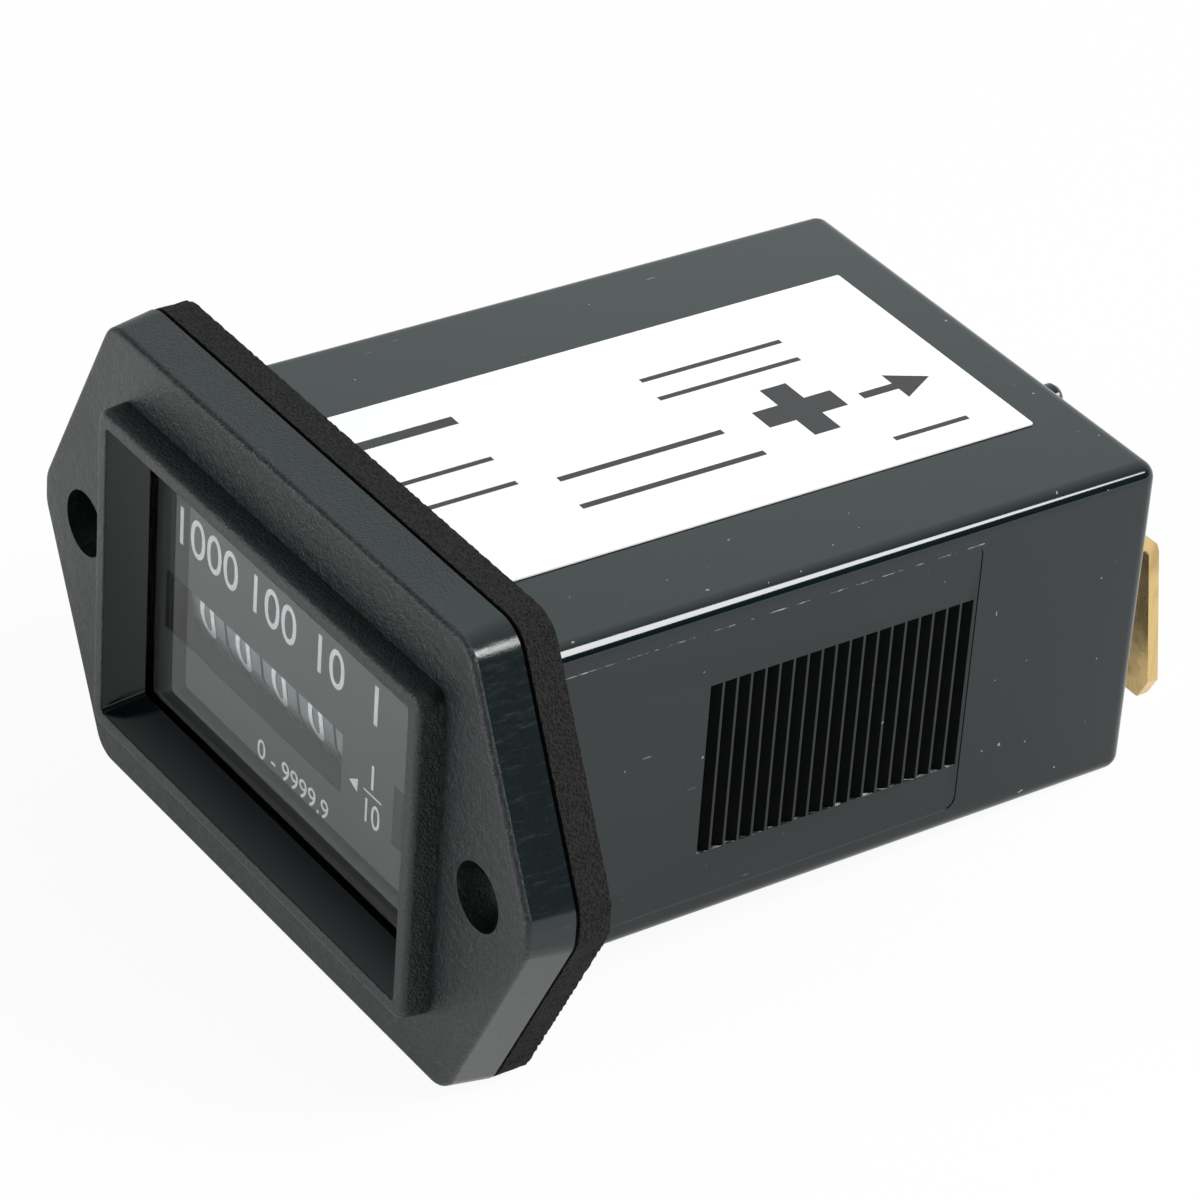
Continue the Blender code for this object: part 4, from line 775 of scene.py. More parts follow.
@dataclass
class Bezel:
    """Long hexagonal flange with the raised window frame and its sloping well."""

    half_top: float = 20.2 * MM
    half_width: float = 27.7 * MM
    tip_half: float = 1.0 * MM
    half_height: float = 15.8 * MM
    rear: float = -2.4 * MM
    thickness: float = 3.1 * MM
    draft: float = 0.4 * MM
    edge: float = 0.4 * MM
    corner: float = 2.2 * MM
    tip_corner: float = 2.4 * MM
    hole_spacing: float = 45.2 * MM
    hole: float = 2.2 * MM
    frame_height: float = 1.8 * MM
    frame_wall: float = 1.1 * MM
    frame_draft: float = 0.1 * MM
    frame_edge: float = 0.4 * MM
    frame_corner: float = 1.0 * MM
    opening: tuple[float, float] = (34.3 * MM, 20.7 * MM)
    opening_corner: float = 0.3 * MM
    lip: float = 0.12 * MM
    slope: float = 1.5 * MM
    well_depth: float = 2.3 * MM
    margin: float = 0.9 * MM
    gap: float = 0.3 * MM
    small_steps: int = 6

    @property
    def front(self) -> float:
        """Depth of the flange's front face."""
        return self.rear - self.thickness

    @property
    def frame_front(self) -> float:
        """Depth of the frame's front rim."""
        return self.front - self.frame_height

    def outline(self, grow: float, steps: int = 10) -> Array:
        """Return the hexagon with both tips cut flat, grown evenly.

        Args:
            grow: distance that every side moves outwards.
            steps: points of a corner's arc, less one.
        """
        run = self.half_width - self.half_top
        drop = self.half_height - self.tip_half
        length = math.hypot(run, drop)
        top = (self.half_top + grow * (length - run) / drop, self.half_height + grow)
        tip = (self.half_width + grow, self.tip_half + grow * (length - drop) / run)
        corners = [(top[0], -top[1]), (tip[0], -tip[1]), tip, top,
                   (-top[0], top[1]), (-tip[0], tip[1]), (-tip[0], -tip[1]), (-top[0], -top[1])]
        big, small = self.corner + grow, self.tip_corner + grow
        return rounded(corners, [big, small, small, big, big, small, small, big], steps)

    def flange(self) -> bpy.types.Mesh:
        """Return the flange: straight drafted sides and a quarter-round front edge."""
        rings = [(self.outline(self.draft), depth(self.rear))]
        rings += [(self.outline(-inset), depth(self.front + level))
                  for inset, level in zip(*quarter_round(self.edge))]
        return grid_mesh("flange", carried(rings, Axis.Y), [2] + [0] * (len(rings) - 2))

    def raised_frame(self) -> bpy.types.Mesh:
        """Return the frame's outer block, with a quarter-round front edge."""
        half_u, half_v = (size / 2 + self.frame_wall for size in self.opening)
        grown = self.frame_draft
        rings = [(rounded_box(half_u + grown, half_v + grown, self.frame_corner), depth(y))
                 for y in (self.front + self.thickness / 2, self.front)]
        rings += [(rounded_box(half_u - inset, half_v - inset, self.frame_corner),
                   depth(self.frame_front + level))
                  for inset, level in zip(*quarter_round(self.frame_edge))]
        return grid_mesh("raised_frame", carried(rings, Axis.Y))

    def well(self) -> bpy.types.Mesh:
        """Return the cutter of the well: a small round lip, then straight sloping walls."""
        level, out = quarter_round(self.lip, 6)
        ledge = self.well_depth
        steps = [(self.lip, -self.lip), *zip(out, level),
                 (-self.slope, ledge), (-self.slope, ledge + self.gap * 2)]
        rings = [(rounded_box(self.opening[0] / 2 + grow, self.opening[1] / 2 + grow,
                              self.opening_corner, self.small_steps),
                  depth(self.frame_front + y)) for grow, y in steps]
        return grid_mesh("well", carried(rings, Axis.Y), [0] * len(out) + [1, 1])

    def pocket(self) -> bpy.types.Mesh:
        """Return the cutter of the pocket that holds the lens and the dial from behind."""
        reach = self.margin + self.gap - self.slope
        outline = rounded_box(self.opening[0] / 2 + reach, self.opening[1] / 2 + reach,
                              self.gap * 2, self.small_steps)
        low = self.frame_front + self.well_depth
        return prism("pocket", outline, Axis.Y, depth(low), depth(self.rear + self.gap * 3), 1)

    def build(self) -> None:
        """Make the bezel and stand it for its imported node."""
        solid = joined("bezel_solid", self.flange(), [self.raised_frame()], Join.ADD)
        rims = [circle((side * self.hole_spacing / 2, 0.0), self.hole, 72) for side in (-1, 1)]
        holes = [prism("hole", rim, Axis.Y, depth(self.frame_front),
                       depth(self.rear + self.gap * 3)) for rim in rims]
        mesh = joined("bezel_shell", solid, [self.well(), self.pocket(), *holes], Join.CUT)
        piece("bezel_shell", mesh, (GRAIN, WALL, SIDE), "housing", ("bezel",))


@dataclass
class Gasket:
    """Foam gasket between the flange and the panel, ragged where it was cut."""

    bezel: Bezel
    thickness: float = 2.1 * MM
    rag: float = 0.06 * MM
    rows: int = 12
    points: int = 900
    seed: int = 3
    opening: tuple[float, float] = (18.5 * MM, 11.87 * MM)
    corner: float = 1.2 * MM
    hole_share: float = 0.98

    def ragged(self, outline: Array, seed: int) -> Array:
        """Return the wall of an outline, pitted by smooth random cells.

        Each point moves inwards by a sum of shifted cosines of its place along the outline and
        its height, with the deepest pits where the sum is highest.

        Args:
            outline: points of the outline.
            seed: number that sets the pattern.
        """
        level = np.linspace(-self.thickness, 0.0, self.rows)
        ahead = np.roll(outline, -1, axis=0) - np.roll(outline, 1, axis=0)
        ahead /= np.linalg.norm(ahead, axis=1)[:, None]
        normal = np.column_stack((ahead[:, 1], -ahead[:, 0]))
        count = len(outline)
        place = np.arange(count) * 2 * np.pi / count
        rng = np.random.default_rng(seed)
        waves = rng.integers(60, count // 3, 40)
        tilt = rng.uniform(500, 4500, 40)
        phase = rng.uniform(0, 2 * np.pi, 40)
        total = np.cos(waves[:, None, None] * place[None, None, :]
                       + tilt[:, None, None] * level[None, :, None]
                       + phase[:, None, None]).sum(axis=0) / 6.0
        pit = self.rag * np.clip(0.5 + 0.5 * total, 0.0, 1.6)
        grid = np.empty((self.rows, count, 3))
        grid[..., 0] = outline[None, :, 0] - normal[None, :, 0] * pit
        grid[..., 1] = depth(0.0) + level[:, None]
        grid[..., 2] = outline[None, :, 1] - normal[None, :, 1] * pit
        return grid

    def build(self) -> None:
        """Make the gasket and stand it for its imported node."""
        outline = spread(self.bezel.outline(self.bezel.draft), self.points)
        solid = grid_mesh("gasket_block", self.ragged(outline, self.seed))
        hole = rounded_box(*self.opening, self.corner, 6)
        spacing, radius = self.bezel.hole_spacing, self.bezel.hole * self.hole_share
        outlines = [hole, *(circle((side * spacing / 2, 0.0), radius, 48) for side in (-1, 1))]
        cutters = [prism("window", outline, Axis.Y, depth(-self.thickness * 2),
                         depth(self.thickness)) for outline in outlines]
        mesh = joined("gasket_foam_pad", solid, cutters, Join.CUT)
        pad = piece("gasket_foam_pad", mesh, (FOAM,), "housing", ("gasket",), 60.0)


def spread(outline: Array, count: int) -> Array:
    """Return an outline resampled to even steps along its length.

    Args:
        outline: points of a closed outline.
        count: number of points wanted.
    """
    closed = np.vstack((outline, outline[:1]))
    step = np.linalg.norm(np.diff(closed, axis=0), axis=1)
    along = np.concatenate(([0.0], np.cumsum(step)))
    wanted = np.linspace(0.0, along[-1], count, endpoint=False)
    return np.column_stack([np.interp(wanted, along, closed[:, k]) for k in (0, 1)])


@dataclass
class Case:
    """Glossy box moulding with ratchet racks, blade slots and a small peg."""

    width: float = 36.4 * MM
    height: float = 22.6 * MM
    front: float = -2.1 * MM
    length: float = 46.6 * MM
    edge: float = 1.15 * MM
    taper: float = 0.3 * MM
    top_taper: float = 0.27 * MM
    side_wall: float = 1.6 * MM
    top_wall: float = 1.3 * MM
    rear_wall: float = 1.6 * MM
    recess: float = 0.06 * MM
    recess_length: float = 33.1 * MM
    recess_top: float = 1.6 * MM
    recess_bottom: float = 1.7 * MM
    recess_corner: float = 0.8 * MM
    teeth: int = 19
    pitch: float = 1.03 * MM
    tooth_depth: float = 0.3 * MM
    land: float = 0.17 * MM
    rack_height: float = 12.1 * MM
    rack_middle: float = -0.3 * MM
    rack_start: float = 13.4 * MM
    cavity_corner: float = 0.5 * MM
    skin: float = 0.3 * MM
    rear_turn: float = 0.985
    blade: tuple[float, float, float, float] = (6.3 * MM, 0.8 * MM, 11.85 * MM, 3.6 * MM)
    slot_gap: float = 0.2 * MM
    glint_width: float = 0.06 * MM
    peg: tuple[float, float, float] = (0.95 * MM, 1.3 * MM, 5.9 * MM)
    peg_profile: tuple[tuple[float, float], ...] = ((1.0, 0.7), (0.8, 0.93), (0.3, 1.0))

    def shell(self) -> bpy.types.Mesh:
        """Return the outside: round long edges and a quarter-round rear edge."""
        half_u, half_v = self.width / 2, self.height / 2
        rings = [(rounded_box(half_u, half_v, self.edge, 12), depth(self.front))]
        rings += [(rounded_box(half_u - inset, half_v - inset, self.edge - inset, 12),
                   depth(self.length - level))
                  for inset, level in zip(*quarter_round(self.edge, 11, self.rear_turn))]
        return grid_mesh("case_outside", carried(rings, Axis.Y))

    def nub(self) -> bpy.types.Mesh:
        """Return the small round peg at the rear's top edge."""
        radius, reach, offset = self.peg
        centre = (offset, self.height / 2 - self.edge - radius * 0.8)
        profile = [(radius, -self.rear_wall / 2)]
        profile += [(radius * share, reach * far) for share, far in self.peg_profile]
        rings = [(circle(centre, r, 32), depth(self.length + y)) for r, y in profile]
        return grid_mesh("nub", carried(rings, Axis.Y))

    def rack(self, side: int) -> bpy.types.Mesh:
        """Return the comb that cuts the saw teeth into a side wall.

        The outline rises from each land's end to the next land, straight on the front flank and
        slanting on the rear one.

        Args:
            side: 1 for the right wall and -1 for the left.
        """
        surface = self.width / 2 - self.recess
        start = self.rack_start + self.pitch * np.arange(self.teeth)
        shape = ((surface, 0.0), (surface - self.tooth_depth, self.land),
                 (surface, self.pitch - self.land))
        tooth = np.stack([np.column_stack((np.full(self.teeth, x), start + y))
                          for x, y in shape], axis=1).reshape(-1, 2)
        outside = self.width / 2 + self.side_wall
        points = np.vstack(([[outside, start[0]]], tooth, [[outside, tooth[-1, 1]]]))
        points[:, 0] *= side
        points[:, 1] += PANEL
        # Faces numbered 1 take the rack finish, painted shade for the teeth's dark reflections.
        comb = prism("rack", points, Axis.Z, self.rack_middle - self.rack_height / 2,
                     self.rack_middle + self.rack_height / 2, 1)
        # The comb's lower face leaves the groove's upward ledge, which takes the edge finish:
        # flecks of painted highlight.
        for face in comb.polygons:
            if face.normal.z < -0.9:
                face.material_index = 2
        return comb

    def side_panel(self, side: int) -> bpy.types.Mesh:
        """Return the cutter of the shallow recess round a rack."""
        low = -self.height / 2 + self.recess_bottom
        high = self.height / 2 - self.recess_top
        start = self.front - 2 * self.recess_corner
        outline = rounded_box((self.recess_length - start) / 2, (high - low) / 2,
                              self.recess_corner, 8,
                              ((self.recess_length + start) / 2, (low + high) / 2))
        outline[:, 0] += PANEL
        walls = sorted((side * (self.width / 2 - self.recess),
                        side * (self.width / 2 + self.side_wall)))
        return prism("side_panel", outline, Axis.X, *walls)

    def rise(self, y: Array) -> Array:
        """Return how far the top lies above its rear height: less towards the rear, evenly."""
        return self.top_taper * np.maximum(0.0, 1 - (y - PANEL) / self.length)

    def lean(self, mesh: bpy.types.Mesh) -> None:
        """Lean the outer side faces in, and lift the top, evenly along the case."""
        points = points_of(mesh)
        outer = np.abs(points[:, 0]) > self.width / 2 - self.side_wall + self.skin
        upper = points[:, 2] > self.height / 2 - self.top_wall + self.skin
        shift = self.taper * (points[:, 1] - PANEL) / self.length * np.sign(points[:, 0])
        points[:, 0] -= np.where(outer, shift, 0.0)
        points[:, 2] += np.where(upper, self.rise(points[:, 1]), 0.0)
        move_points(mesh, points)

    def glint_line(self) -> None:
        """Make the thin lines of painted highlight along the upper edges of the side recesses."""
        top, glint_width = self.height / 2 - self.recess_top, self.glint_width
        lines = [block("glint_line", (side * (self.width / 2 - glint_width / 2), depth(-self.front),
                                     top - glint_width / 2),
                       (side * (self.width / 2 + glint_width / 6), depth(self.recess_length),
                        top + glint_width / 2)) for side in (-1, 1)]
        mesh = merged("glint_lines", [outward(line) for line in lines])
        self.lean(mesh)
        piece("glint_lines", mesh, (EDGE_GLINT,), "housing")

    def build(self) -> None:
        """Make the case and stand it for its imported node."""
        self.glint_line()
        solid = joined("case_solid", self.shell(), [self.nub()], Join.ADD)
        half_u, half_v = self.width / 2 - self.side_wall, self.height / 2 - self.top_wall
        cavity = prism("cavity", rounded_box(half_u, half_v, self.cavity_corner, 3), Axis.Y,
                       depth(self.front * 2), depth(self.length - self.rear_wall))
        width, thick, offset, top = self.blade
        gap = self.slot_gap
        front, rear = depth(self.length - self.rear_wall * 2), depth(self.length + self.rear_wall)
        slots = [block("slot", (side * offset - width / 2 - gap, front, top - thick - gap),
                       (side * offset + width / 2 + gap, rear, top + gap)) for side in (-1, 1)]
        cutters = [cavity, *slots]
        for side in (-1, 1):
            cutters += [self.side_panel(side), self.rack(side)]
        mesh = joined("case_shell", solid, cutters, Join.CUT)
        self.lean(mesh)
        piece("case_shell", mesh, (CASE, RACK_SHADE, EDGE_GLINT), "housing", ("case",), 24.0)


@dataclass
class Label:
    """White film on the top face, with plain bars, a plus sign and an arrow."""

    case: Case
    thickness: float = 0.1 * MM
    corner: float = 0.15 * MM
    film_gap: float = 0.05 * MM
    ink: float = 0.012 * MM
    plus_centre: tuple[float, float] = (2.4 * MM, 30.4 * MM)
    plus_size: float = 5.9 * MM
    plus_arm: float = 1.95 * MM
    arrow: tuple[float, float, float] = (2.9 * MM, 34.7 * MM, 39.9 * MM)
    arrow_head: tuple[float, float] = (2.9 * MM, 2.6 * MM)
    stroke: float = 0.7 * MM
    bars: tuple[tuple[float, float, float, float], ...] = (
        (-4.9, 28.8, 0.42, 10.6), (-2.6, 28.6, 0.42, 10.6), (2.4, 18.6, 0.5, 12.0),
        (5.6, 18.8, 0.5, 13.4), (8.0, 36.3, 0.42, 5.6), (-6.3, 6.6, 0.9, 8.4),
        (-1.5, 6.8, 0.42, 7.2), (1.5, 6.6, 0.42, 7.2))

    def tilted(self, name: str, outline: Array, low: float, high: float) -> bpy.types.Mesh:
        """Return a flat solid that follows the case's top, which drops evenly to the rear."""
        mesh = prism(name, outline, Axis.Z, low, high)
        points = points_of(mesh)
        points[:, 2] += self.case.rise(points[:, 1])
        move_points(mesh, points)
        return mesh

    def lay(self, name: str, outline: Array) -> None:
        """Lay an inked shape on the film.

        Args:
            name: name of the piece.
            outline: its (x, depth) points, from the panel's face.
        """
        top = self.case.height / 2 + self.film_gap + self.thickness
        points = np.array(outline, float)
        points[:, 1] += PANEL
        mesh = self.tilted(name, points, top - self.ink / 4, top + self.ink)
        piece(name, mesh, (BLACK_INK,), "housing")

    def bar(self, name: str, x: float, y: float, wide: float, long: float) -> None:
        """Lay a bar whose long side runs along the case."""
        self.lay(name, corners(x - wide / 2, x + wide / 2, y - long / 2, y + long / 2))

    def build(self) -> None:
        """Make the film and its print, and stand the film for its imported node."""
        low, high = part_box("label")
        outline = rounded_box((high[0] - low[0]) / 2, (high[1] - low[1]) / 2, self.corner, 4,
                              ((high[0] + low[0]) / 2, (high[1] + low[1]) / 2))
        under = self.case.height / 2 + self.film_gap
        mesh = self.tilted("label_sheet", outline, under, under + self.thickness)
        piece("label_sheet", mesh, (FILM,), "housing", ("label",))
        centre_x, centre_y = self.plus_centre
        reach, arm = self.plus_size / 2, self.plus_arm / 2
        quarter = np.array([(arm, reach), (arm, arm), (reach, arm)])
        turned = [quarter, quarter[::-1] * (1, -1), -quarter, quarter[::-1] * (-1, 1)]
        self.lay("label_plus", np.vstack(turned) + (centre_x, centre_y))
        for number, bar in enumerate(self.bars):
            self.bar(f"label_bar_{number}", *(size * MM for size in bar))
        x, start, end = self.arrow
        wide, head = self.arrow_head
        half = self.stroke / 2
        self.lay("label_arrow", np.array([
            (x - half, start), (x + half, start), (x + half, end - head),
            (x + wide / 2, end - head), (x, end), (x - wide / 2, end - head),
            (x - half, end - head)]))


@dataclass
class Dial:
    """Dark mask on the lens's rear face, with plain white figures round the two windows.

    A print is its name, its figures, the x and z of its middle, the height of a figure and the
    stretch along X, in millimetres.
    """

    mask: float = 0.03 * MM
    ink: float = 0.012 * MM
    corner: float = 0.4 * MM
    digit_window: tuple[float, float, float, float] = (-14.8 * MM, 5.8 * MM, -3.5 * MM, 0.7 * MM)
    run_slot: tuple[float, float, float, float] = (11.5 * MM, 12.85 * MM, -3.6 * MM, 0.55 * MM)
    fraction_bar: tuple[float, float, float, float] = (
        8.3 * MM, 10.25 * MM, -1.68 * MM, -1.56 * MM)
    pointer: tuple[tuple[float, float], ...] = ((6.7, -1.9), (7.65, -1.35), (7.6, -2.3))
    prints: tuple[tuple[str, str, float, float, float, float], ...] = (
        ("one", "1", 9.2, -0.35, 1.7, 1.0), ("ten", "10", 9.35, -2.95, 1.7, 0.85),
        ("place_1000", "1000", -9.9, 4.75, 2.7, 1.0), ("place_100", "100", -2.2, 4.75, 2.7, 1.0),
        ("place_10", "10", 4.2, 4.75, 2.7, 1.0), ("place_1", "1", 9.2, 4.75, 2.7, 1.0),
        ("full_count", "0 - 9999.9", 0.5, -5.75, 1.35, 1.05))

    @property
    def rear(self) -> float:
        """Depth of the mask's front face, just behind the lens."""
        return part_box("lens")[1][1] + self.ink * 3

    def strip(self, name: str, outlines: Sequence[Array], front: float, thick: float,
              finish: Finish) -> bpy.types.Object:
        """Make a flat printed shape from outlines, whose inner ones are holes.

        Args:
            name: name of the piece.
            outlines: the outer outline and its holes, as (x, z) points.
            front: depth of its front face.
            thick: its thickness.
            finish: its finish.
        """
        base = prism(name, outlines[0], Axis.Y, front, front + thick)
        if len(outlines) > 1:
            holes = [prism("opening", hole, Axis.Y, front - thick, front + thick * 2)
                     for hole in outlines[1:]]
            base = joined(name, base, holes, Join.CUT)
        return piece(name, base, (finish,), "housing")

    def figures(self, name: str, text: str, centre: Sequence[float], height: float,
                wide: float) -> None:
        """Print plain figures on the mask.

        Args:
            name: name of the piece.
            text: the figures.
            centre: their middle, as (x, z).
            height: height of a figure.
            wide: how far they are stretched along X.
        """
        mesh = figure_mesh(text, height, wide)
        points = points_of(mesh)
        move_points(mesh, np.column_stack((
            points[:, 0] + centre[0], self.rear - self.ink * (points[:, 2] > 0),
            points[:, 1] + centre[1])))
        piece(name, outward(mesh), (WHITE_INK,), "housing")

    def build(self) -> None:
        """Make the mask and its print."""
        low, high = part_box("lens")
        half_u, half_v = (high[0] - low[0]) / 2, (high[2] - low[2]) / 2
        outline = rounded_box(half_u, half_v, self.corner, 4, (0.0, (high[2] + low[2]) / 2))
        windows = [corners(*self.digit_window), corners(*self.run_slot)]
        self.strip("dial_mask", [outline, *windows], self.rear, self.mask, MASK_INK)
        for name, shape in (("dial_pointer", np.array(self.pointer) * MM),
                            ("dial_fraction_bar", corners(*self.fraction_bar))):
            self.strip(name, [shape], self.rear - self.ink, self.ink, WHITE_INK)
        for name, text, x, z, height, wide in self.prints:
            self.figures(f"dial_{name}", text, (x * MM, z * MM), height * MM, wide)


def figure_mesh(text: str, height: float, wide: float = 1.0,
                weight: float = 0.0) -> bpy.types.Mesh:
    """Return raised figures of one unit thickness along Z, centred on the origin in X and Y.

    Args:
        text: the figures.
        height: height of a figure.
        wide: stretch along X.
        weight: added stroke, as a share of the height.
    """
    curve = bpy.data.curves.new("figures", "FONT")
    curve.body = text
    curve.size = 1.0
    curve.extrude = 0.5
    curve.offset = weight
    curve.resolution_u = 6
    holder = linked("figures", curve)
    mesh = evaluated_mesh(holder)
    bpy.data.objects.remove(holder, do_unlink=True)
    points = points_of(mesh)
    low, high = points.min(axis=0), points.max(axis=0)
    points -= (low + high) / 2
    scale = height / (high[1] - low[1])
    points[:, 0] *= scale * wide
    points[:, 1] *= scale
    move_points(mesh, points)
    return mesh


@dataclass
class NumberWheels:
    """White figures round the five number wheels."""

    radius: float = 6.6 * MM
    figure_height: float = 3.4 * MM
    figure_width: float = 1.75 * MM
    stroke: float = 0.015
    proud: float = 0.02 * MM
    sunk: float = 0.3
    bands: int = 10
    ring: float = 0.9 * MM
    rest_turn: float = -0.13
    bodies: tuple[str, ...] = ("thousands", "hundreds", "tens", "units", "tenths")
    digits: str = "0123456789"

    def wrapped(self, digit: str, turn: float, centre: Vector) -> bpy.types.Mesh:
        """Return a figure bent round the wheel.

        A point's height above the figure's middle becomes an angle about the wheel's axis, and
        its thickness becomes a distance from the axis.

        Args:
            digit: the figure.
            turn: angle of its middle from the front.
            centre: middle of the wheel.
        """
        mesh = figure_mesh(digit, self.figure_height, 1.0, self.stroke)
        cut_rows(mesh, self.bands)
        points = points_of(mesh)
        span = points[:, 0].max() - points[:, 0].min()
        stretch = min(1.0, self.figure_width / span) if digit != "1" else 1.0
        angle = points[:, 1] / self.radius + turn
        away = self.radius + self.proud * (points[:, 2] + self.sunk)
        move_points(mesh, np.column_stack((
            centre.x + points[:, 0] * stretch, centre.y - away * np.cos(angle),
            centre.z + away * np.sin(angle))))
        return outward(mesh)

    def build(self) -> None:
        """Make the figures of every wheel, one piece for each wheel."""
        for body in self.bodies:
            low, high = (Vector(corner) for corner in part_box(f"wheel_{body}"))
            middle = (low + high) / 2
            right = high.x - (self.ring if body == "tenths" else 0.0)
            centre = Vector(((low.x + right) / 2, middle.y, middle.z))
            meshes = [self.wrapped(digit, self.rest_turn - number * math.pi / 5, centre)
                      for number, digit in enumerate(self.digits)]
            piece(f"figures_{body}", merged(f"figures_{body}", meshes), (FIGURE,), body)


def cut_rows(mesh: bpy.types.Mesh, rows: int) -> None:
    """Cut a mesh by level planes across Y, so that it can be bent.

    Args:
        mesh: mesh to cut.
        rows: number of bands.
    """
    work = bmesh.new()
    work.from_mesh(mesh)
    bmesh.ops.remove_doubles(work, verts=work.verts, dist=WELD)
    levels = [vert.co.y for vert in work.verts]
    for level in np.linspace(min(levels), max(levels), rows + 1)[1:-1]:
        bmesh.ops.bisect_plane(work, geom=[*work.verts, *work.edges, *work.faces],
                               plane_co=(0.0, float(level), 0.0), plane_no=(0.0, 1.0, 0.0))
    work.to_mesh(mesh)
    work.free()


def merged(name: str, meshes: Sequence[bpy.types.Mesh]) -> bpy.types.Mesh:
    """Return several meshes as one."""
    work = bmesh.new()
    for mesh in meshes:
        work.from_mesh(mesh)
    result = bpy.data.meshes.new(name)
    work.to_mesh(result)
    work.free()
    return result


@dataclass
class Movement:
    """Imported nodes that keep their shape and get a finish."""

    finishes: tuple[tuple[Finish, tuple[str, ...]], ...] = FINISH_NODES

    def build(self) -> None:
        """Put each finish into its nodes' material slots."""
        for finish, name in ((finish, name) for finish, names in self.finishes for name in names):
            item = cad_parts[name]
            if not item.material_slots:
                item.data.materials.append(finish.make())
            for slot in item.material_slots:
                slot.material = finish.make()
            LOG.info("%s finished as %s", name, finish.name)


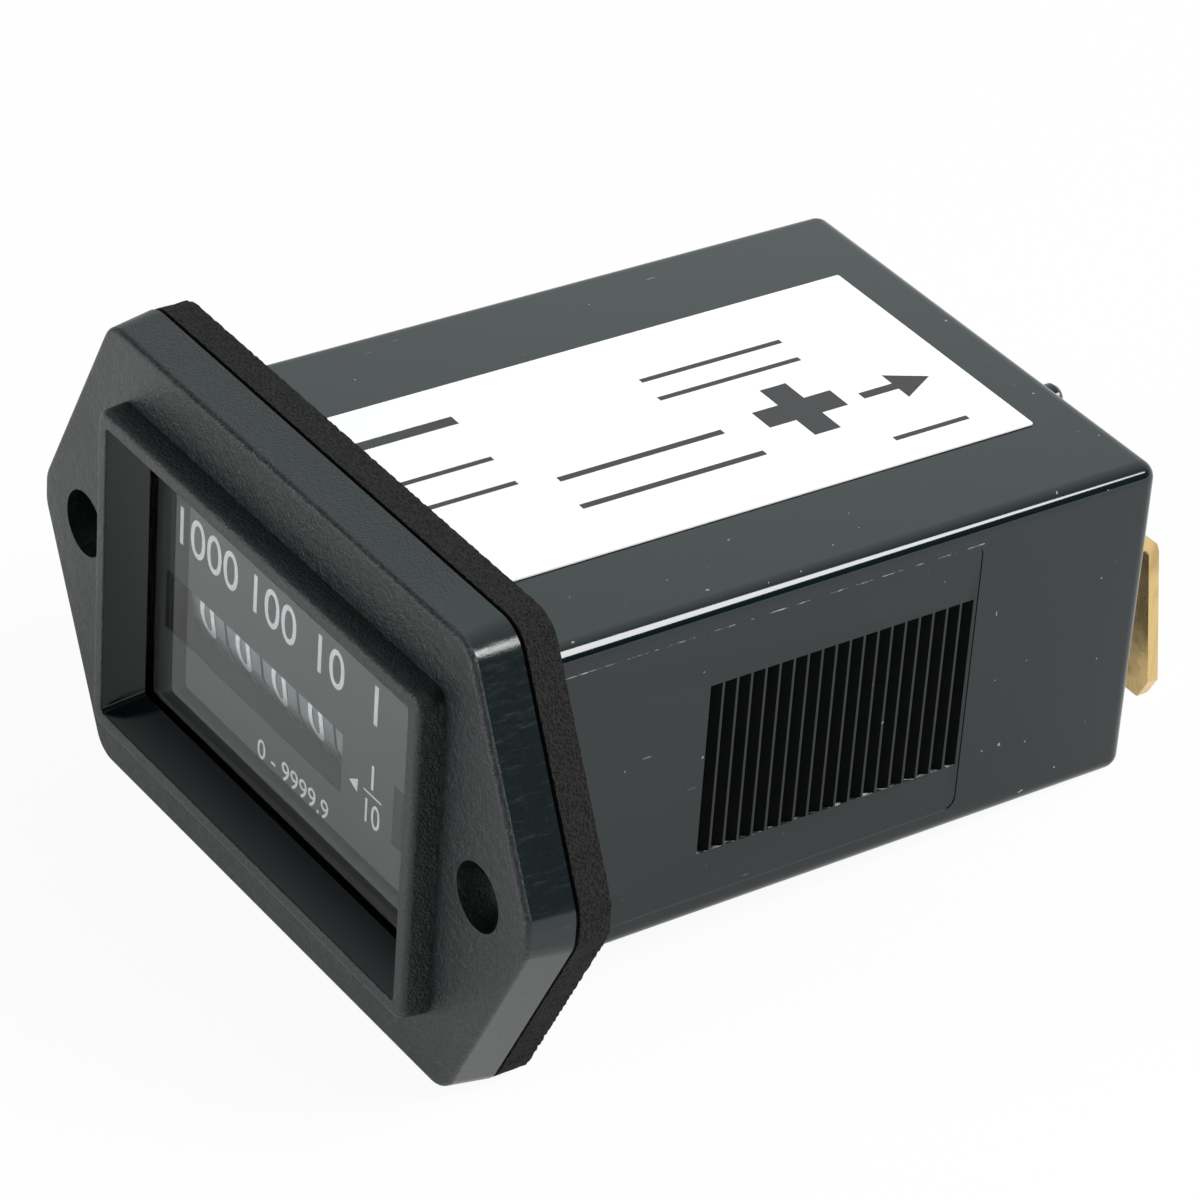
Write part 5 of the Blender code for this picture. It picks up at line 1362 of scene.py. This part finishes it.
@dataclass
class Studio:
    """Camera, floor, lamps and world.

    The camera's place, its small turn and its focal share were solved from straight edges of the
    photograph, from a first view from first_eye. A lamp is its name, its place, its width and
    height, and its power in watts, and it faces the origin.
    """

    eye: tuple[float, float, float] = (244.54 * MM, -160.33 * MM, 195.44 * MM)
    turn: tuple[float, float, float] = (-0.042, 0.310, 0.281)
    first_eye: tuple[float, float, float] = (70.0, -110.0, 90.0)
    focal_share: float = 5844.14 / 1200.0
    sensor: float = 36.0
    nearest: float = 10.0 * MM
    floor_half: float = 6.0
    floor_drop: float = 0.05 * MM
    rear_step: float = 2.0 * MM
    floor_white: float = 0.78
    floor_glow: float = 0.94
    glossy_floor: float = 0.4
    bright_side: tuple[float, float, float] = (-0.45, 0.65, 0.60)
    room_levels: tuple[tuple[float, float], ...] = (
        (0.0, 0.03), (0.45, 0.18), (0.70, 0.55), (0.94, 1.05))
    room_tint: tuple[float, float, float] = (0.93, 0.985, 1.0)
    lamps: tuple[tuple[str, tuple[float, float, float], tuple[float, float], float], ...] = (
        ("edge_strip", (0.42, 0.36, 0.53), (0.26, 0.38), 5.5),
        ("corner_light", (0.47, 0.15, 0.58), (0.18, 0.20), 1.5),
        ("front_fill", (-0.15, -0.70, 0.12), (0.40, 0.40), 3.4))

    def camera(self) -> None:
        """Put the camera at the photograph's place."""
        data = bpy.data.cameras.new("view_camera")
        data.sensor_width = self.sensor
        data.lens = self.sensor * self.focal_share
        data.clip_start = self.nearest
        item = linked("view_camera", data)
        forward = -Vector(self.first_eye).normalized()
        right = forward.cross(Vector((0.0, 0.0, 1.0))).normalized()
        angle = Vector(self.turn)
        rows = (Matrix.Rotation(angle.length, 3, angle.normalized())
                @ Matrix((right, forward.cross(right), forward)))
        basis = Matrix((rows[0], -rows[1], -rows[2])).transposed()
        place = Vector(self.eye) + Vector((0.0, PANEL, 0.0))
        item.matrix_world = Matrix.Translation(place) @ basis.to_4x4()
        bpy.context.scene.camera = item

    def floor(self) -> None:
        """Lay the floor under the gasket's lower edge and the case's rear lower edge."""
        low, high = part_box("gasket"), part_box("case")
        front = Vector((0.0, low[1][1], low[0][2]))
        rear = Vector((0.0, high[1][1] - self.rear_step, high[0][2]))
        slope = math.atan2(rear.z - front.z, rear.y - front.y)
        place = front - Vector((0.0, 0.0, self.floor_drop))
        mesh = bpy.data.meshes.new("studio_floor")
        side = self.floor_half
        points = [(x, y, 0.0) for x, y in corners(-side, side, -side, side).tolist()]
        mesh.from_pydata(points, [], [(0, 1, 2, 3)])
        mesh.materials.append(self.floor_material())
        item = linked("studio_floor", mesh)
        item.matrix_world = Matrix.Translation(place) @ Matrix.Rotation(slope, 4, "X")

    def floor_material(self) -> bpy.types.Material:
        """Return a matt white that the camera sees bright, and a mirror sees only in part."""
        sheet = Sheet("studio_floor_white")
        sheet.set(Base_Color=(*[self.floor_white] * 3, 1.0), Roughness=1.0, Specular_IOR_Level=0.0)
        glow = sheet.node("Emission", Color=(*EVEN, 1.0))
        path = sheet.node("LightPath").outputs
        mirrored = sheet.sum(path["Is Glossy Ray"], self.glossy_floor, "MULTIPLY")
        direct = sheet.sum(path["Is Camera Ray"], path["Is Transmission Ray"], "MAXIMUM")
        share = sheet.sum(sheet.sum(direct, mirrored, "MAXIMUM"), self.floor_glow, "MULTIPLY")
        mix = sheet.node("MixShader")
        sheet.link(share, mix.inputs["Fac"])
        sheet.link(sheet.shader.outputs["BSDF"], mix.inputs[1])
        sheet.link(glow.outputs["Emission"], mix.inputs[2])
        sheet.link(mix.outputs["Shader"], sheet.output.inputs["Surface"])
        return sheet.material

    def lamp(self, name: str, place: Sequence[float], size: tuple[float, float],
             power: float) -> None:
        """Hang a rectangular soft lamp that faces the origin.

        Args:
            name: name of the lamp.
            place: its middle.
            size: its width and height.
            power: its power in watts.
        """
        data = bpy.data.lights.new(name, "AREA")
        data.shape = "RECTANGLE"
        data.size, data.size_y = size
        data.energy = power
        item = linked(name, data)
        item.location = place
        item.rotation_euler = (-Vector(place)).to_track_quat("-Z", "Y").to_euler()

    def world(self) -> None:
        """Make the room: bright above, behind and to the left, dark in front and below.

        The camera sees plain white.
        """
        world = bpy.data.worlds.new("studio_room")
        world.use_nodes = True
        tree = world.node_tree
        place = add_node(tree, "TexCoord")
        aim = add_node(tree, "VectorMath")
        aim.operation = "DOT_PRODUCT"
        aim.inputs[1].default_value = Vector(self.bright_side).normalized()
        tree.links.new(place.outputs["Generated"], aim.inputs[0])
        ramp = add_node(tree, "ValToRGB")
        stops = ramp.color_ramp.elements
        for number, (position, level) in enumerate(self.room_levels):
            stop = stops[number] if number < 1 else stops.new(position)
            stop.position = position
            stop.color = (*(level * share for share in self.room_tint), 1.0)
        stops.remove(stops[-1])
        tree.links.new(aim.outputs["Value"], ramp.inputs["Fac"])
        path = add_node(tree, "LightPath")
        seen = add_mix(tree, path.outputs["Is Camera Ray"], ramp.outputs["Color"], EVEN)
        tree.links.new(seen, tree.nodes["Background"].inputs["Color"])
        bpy.context.scene.world = world

    def build(self) -> None:
        """Set the whole studio."""
        self.camera()
        self.floor()
        self.world()
        for lamp in self.lamps:
            self.lamp(*lamp)
        bpy.context.scene.view_settings.view_transform = "Standard"


def main() -> None:
    """Build the studio and every sub-assembly in order."""
    logging.basicConfig(level=logging.INFO, format="%(name)s: %(message)s")
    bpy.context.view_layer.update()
    Studio().build()
    bezel = Bezel()
    bezel.build()
    Gasket(bezel).build()
    case = Case()
    case.build()
    Label(case).build()
    Dial().build()
    NumberWheels().build()
    Movement().build()


if __name__ == "__main__":
    main()
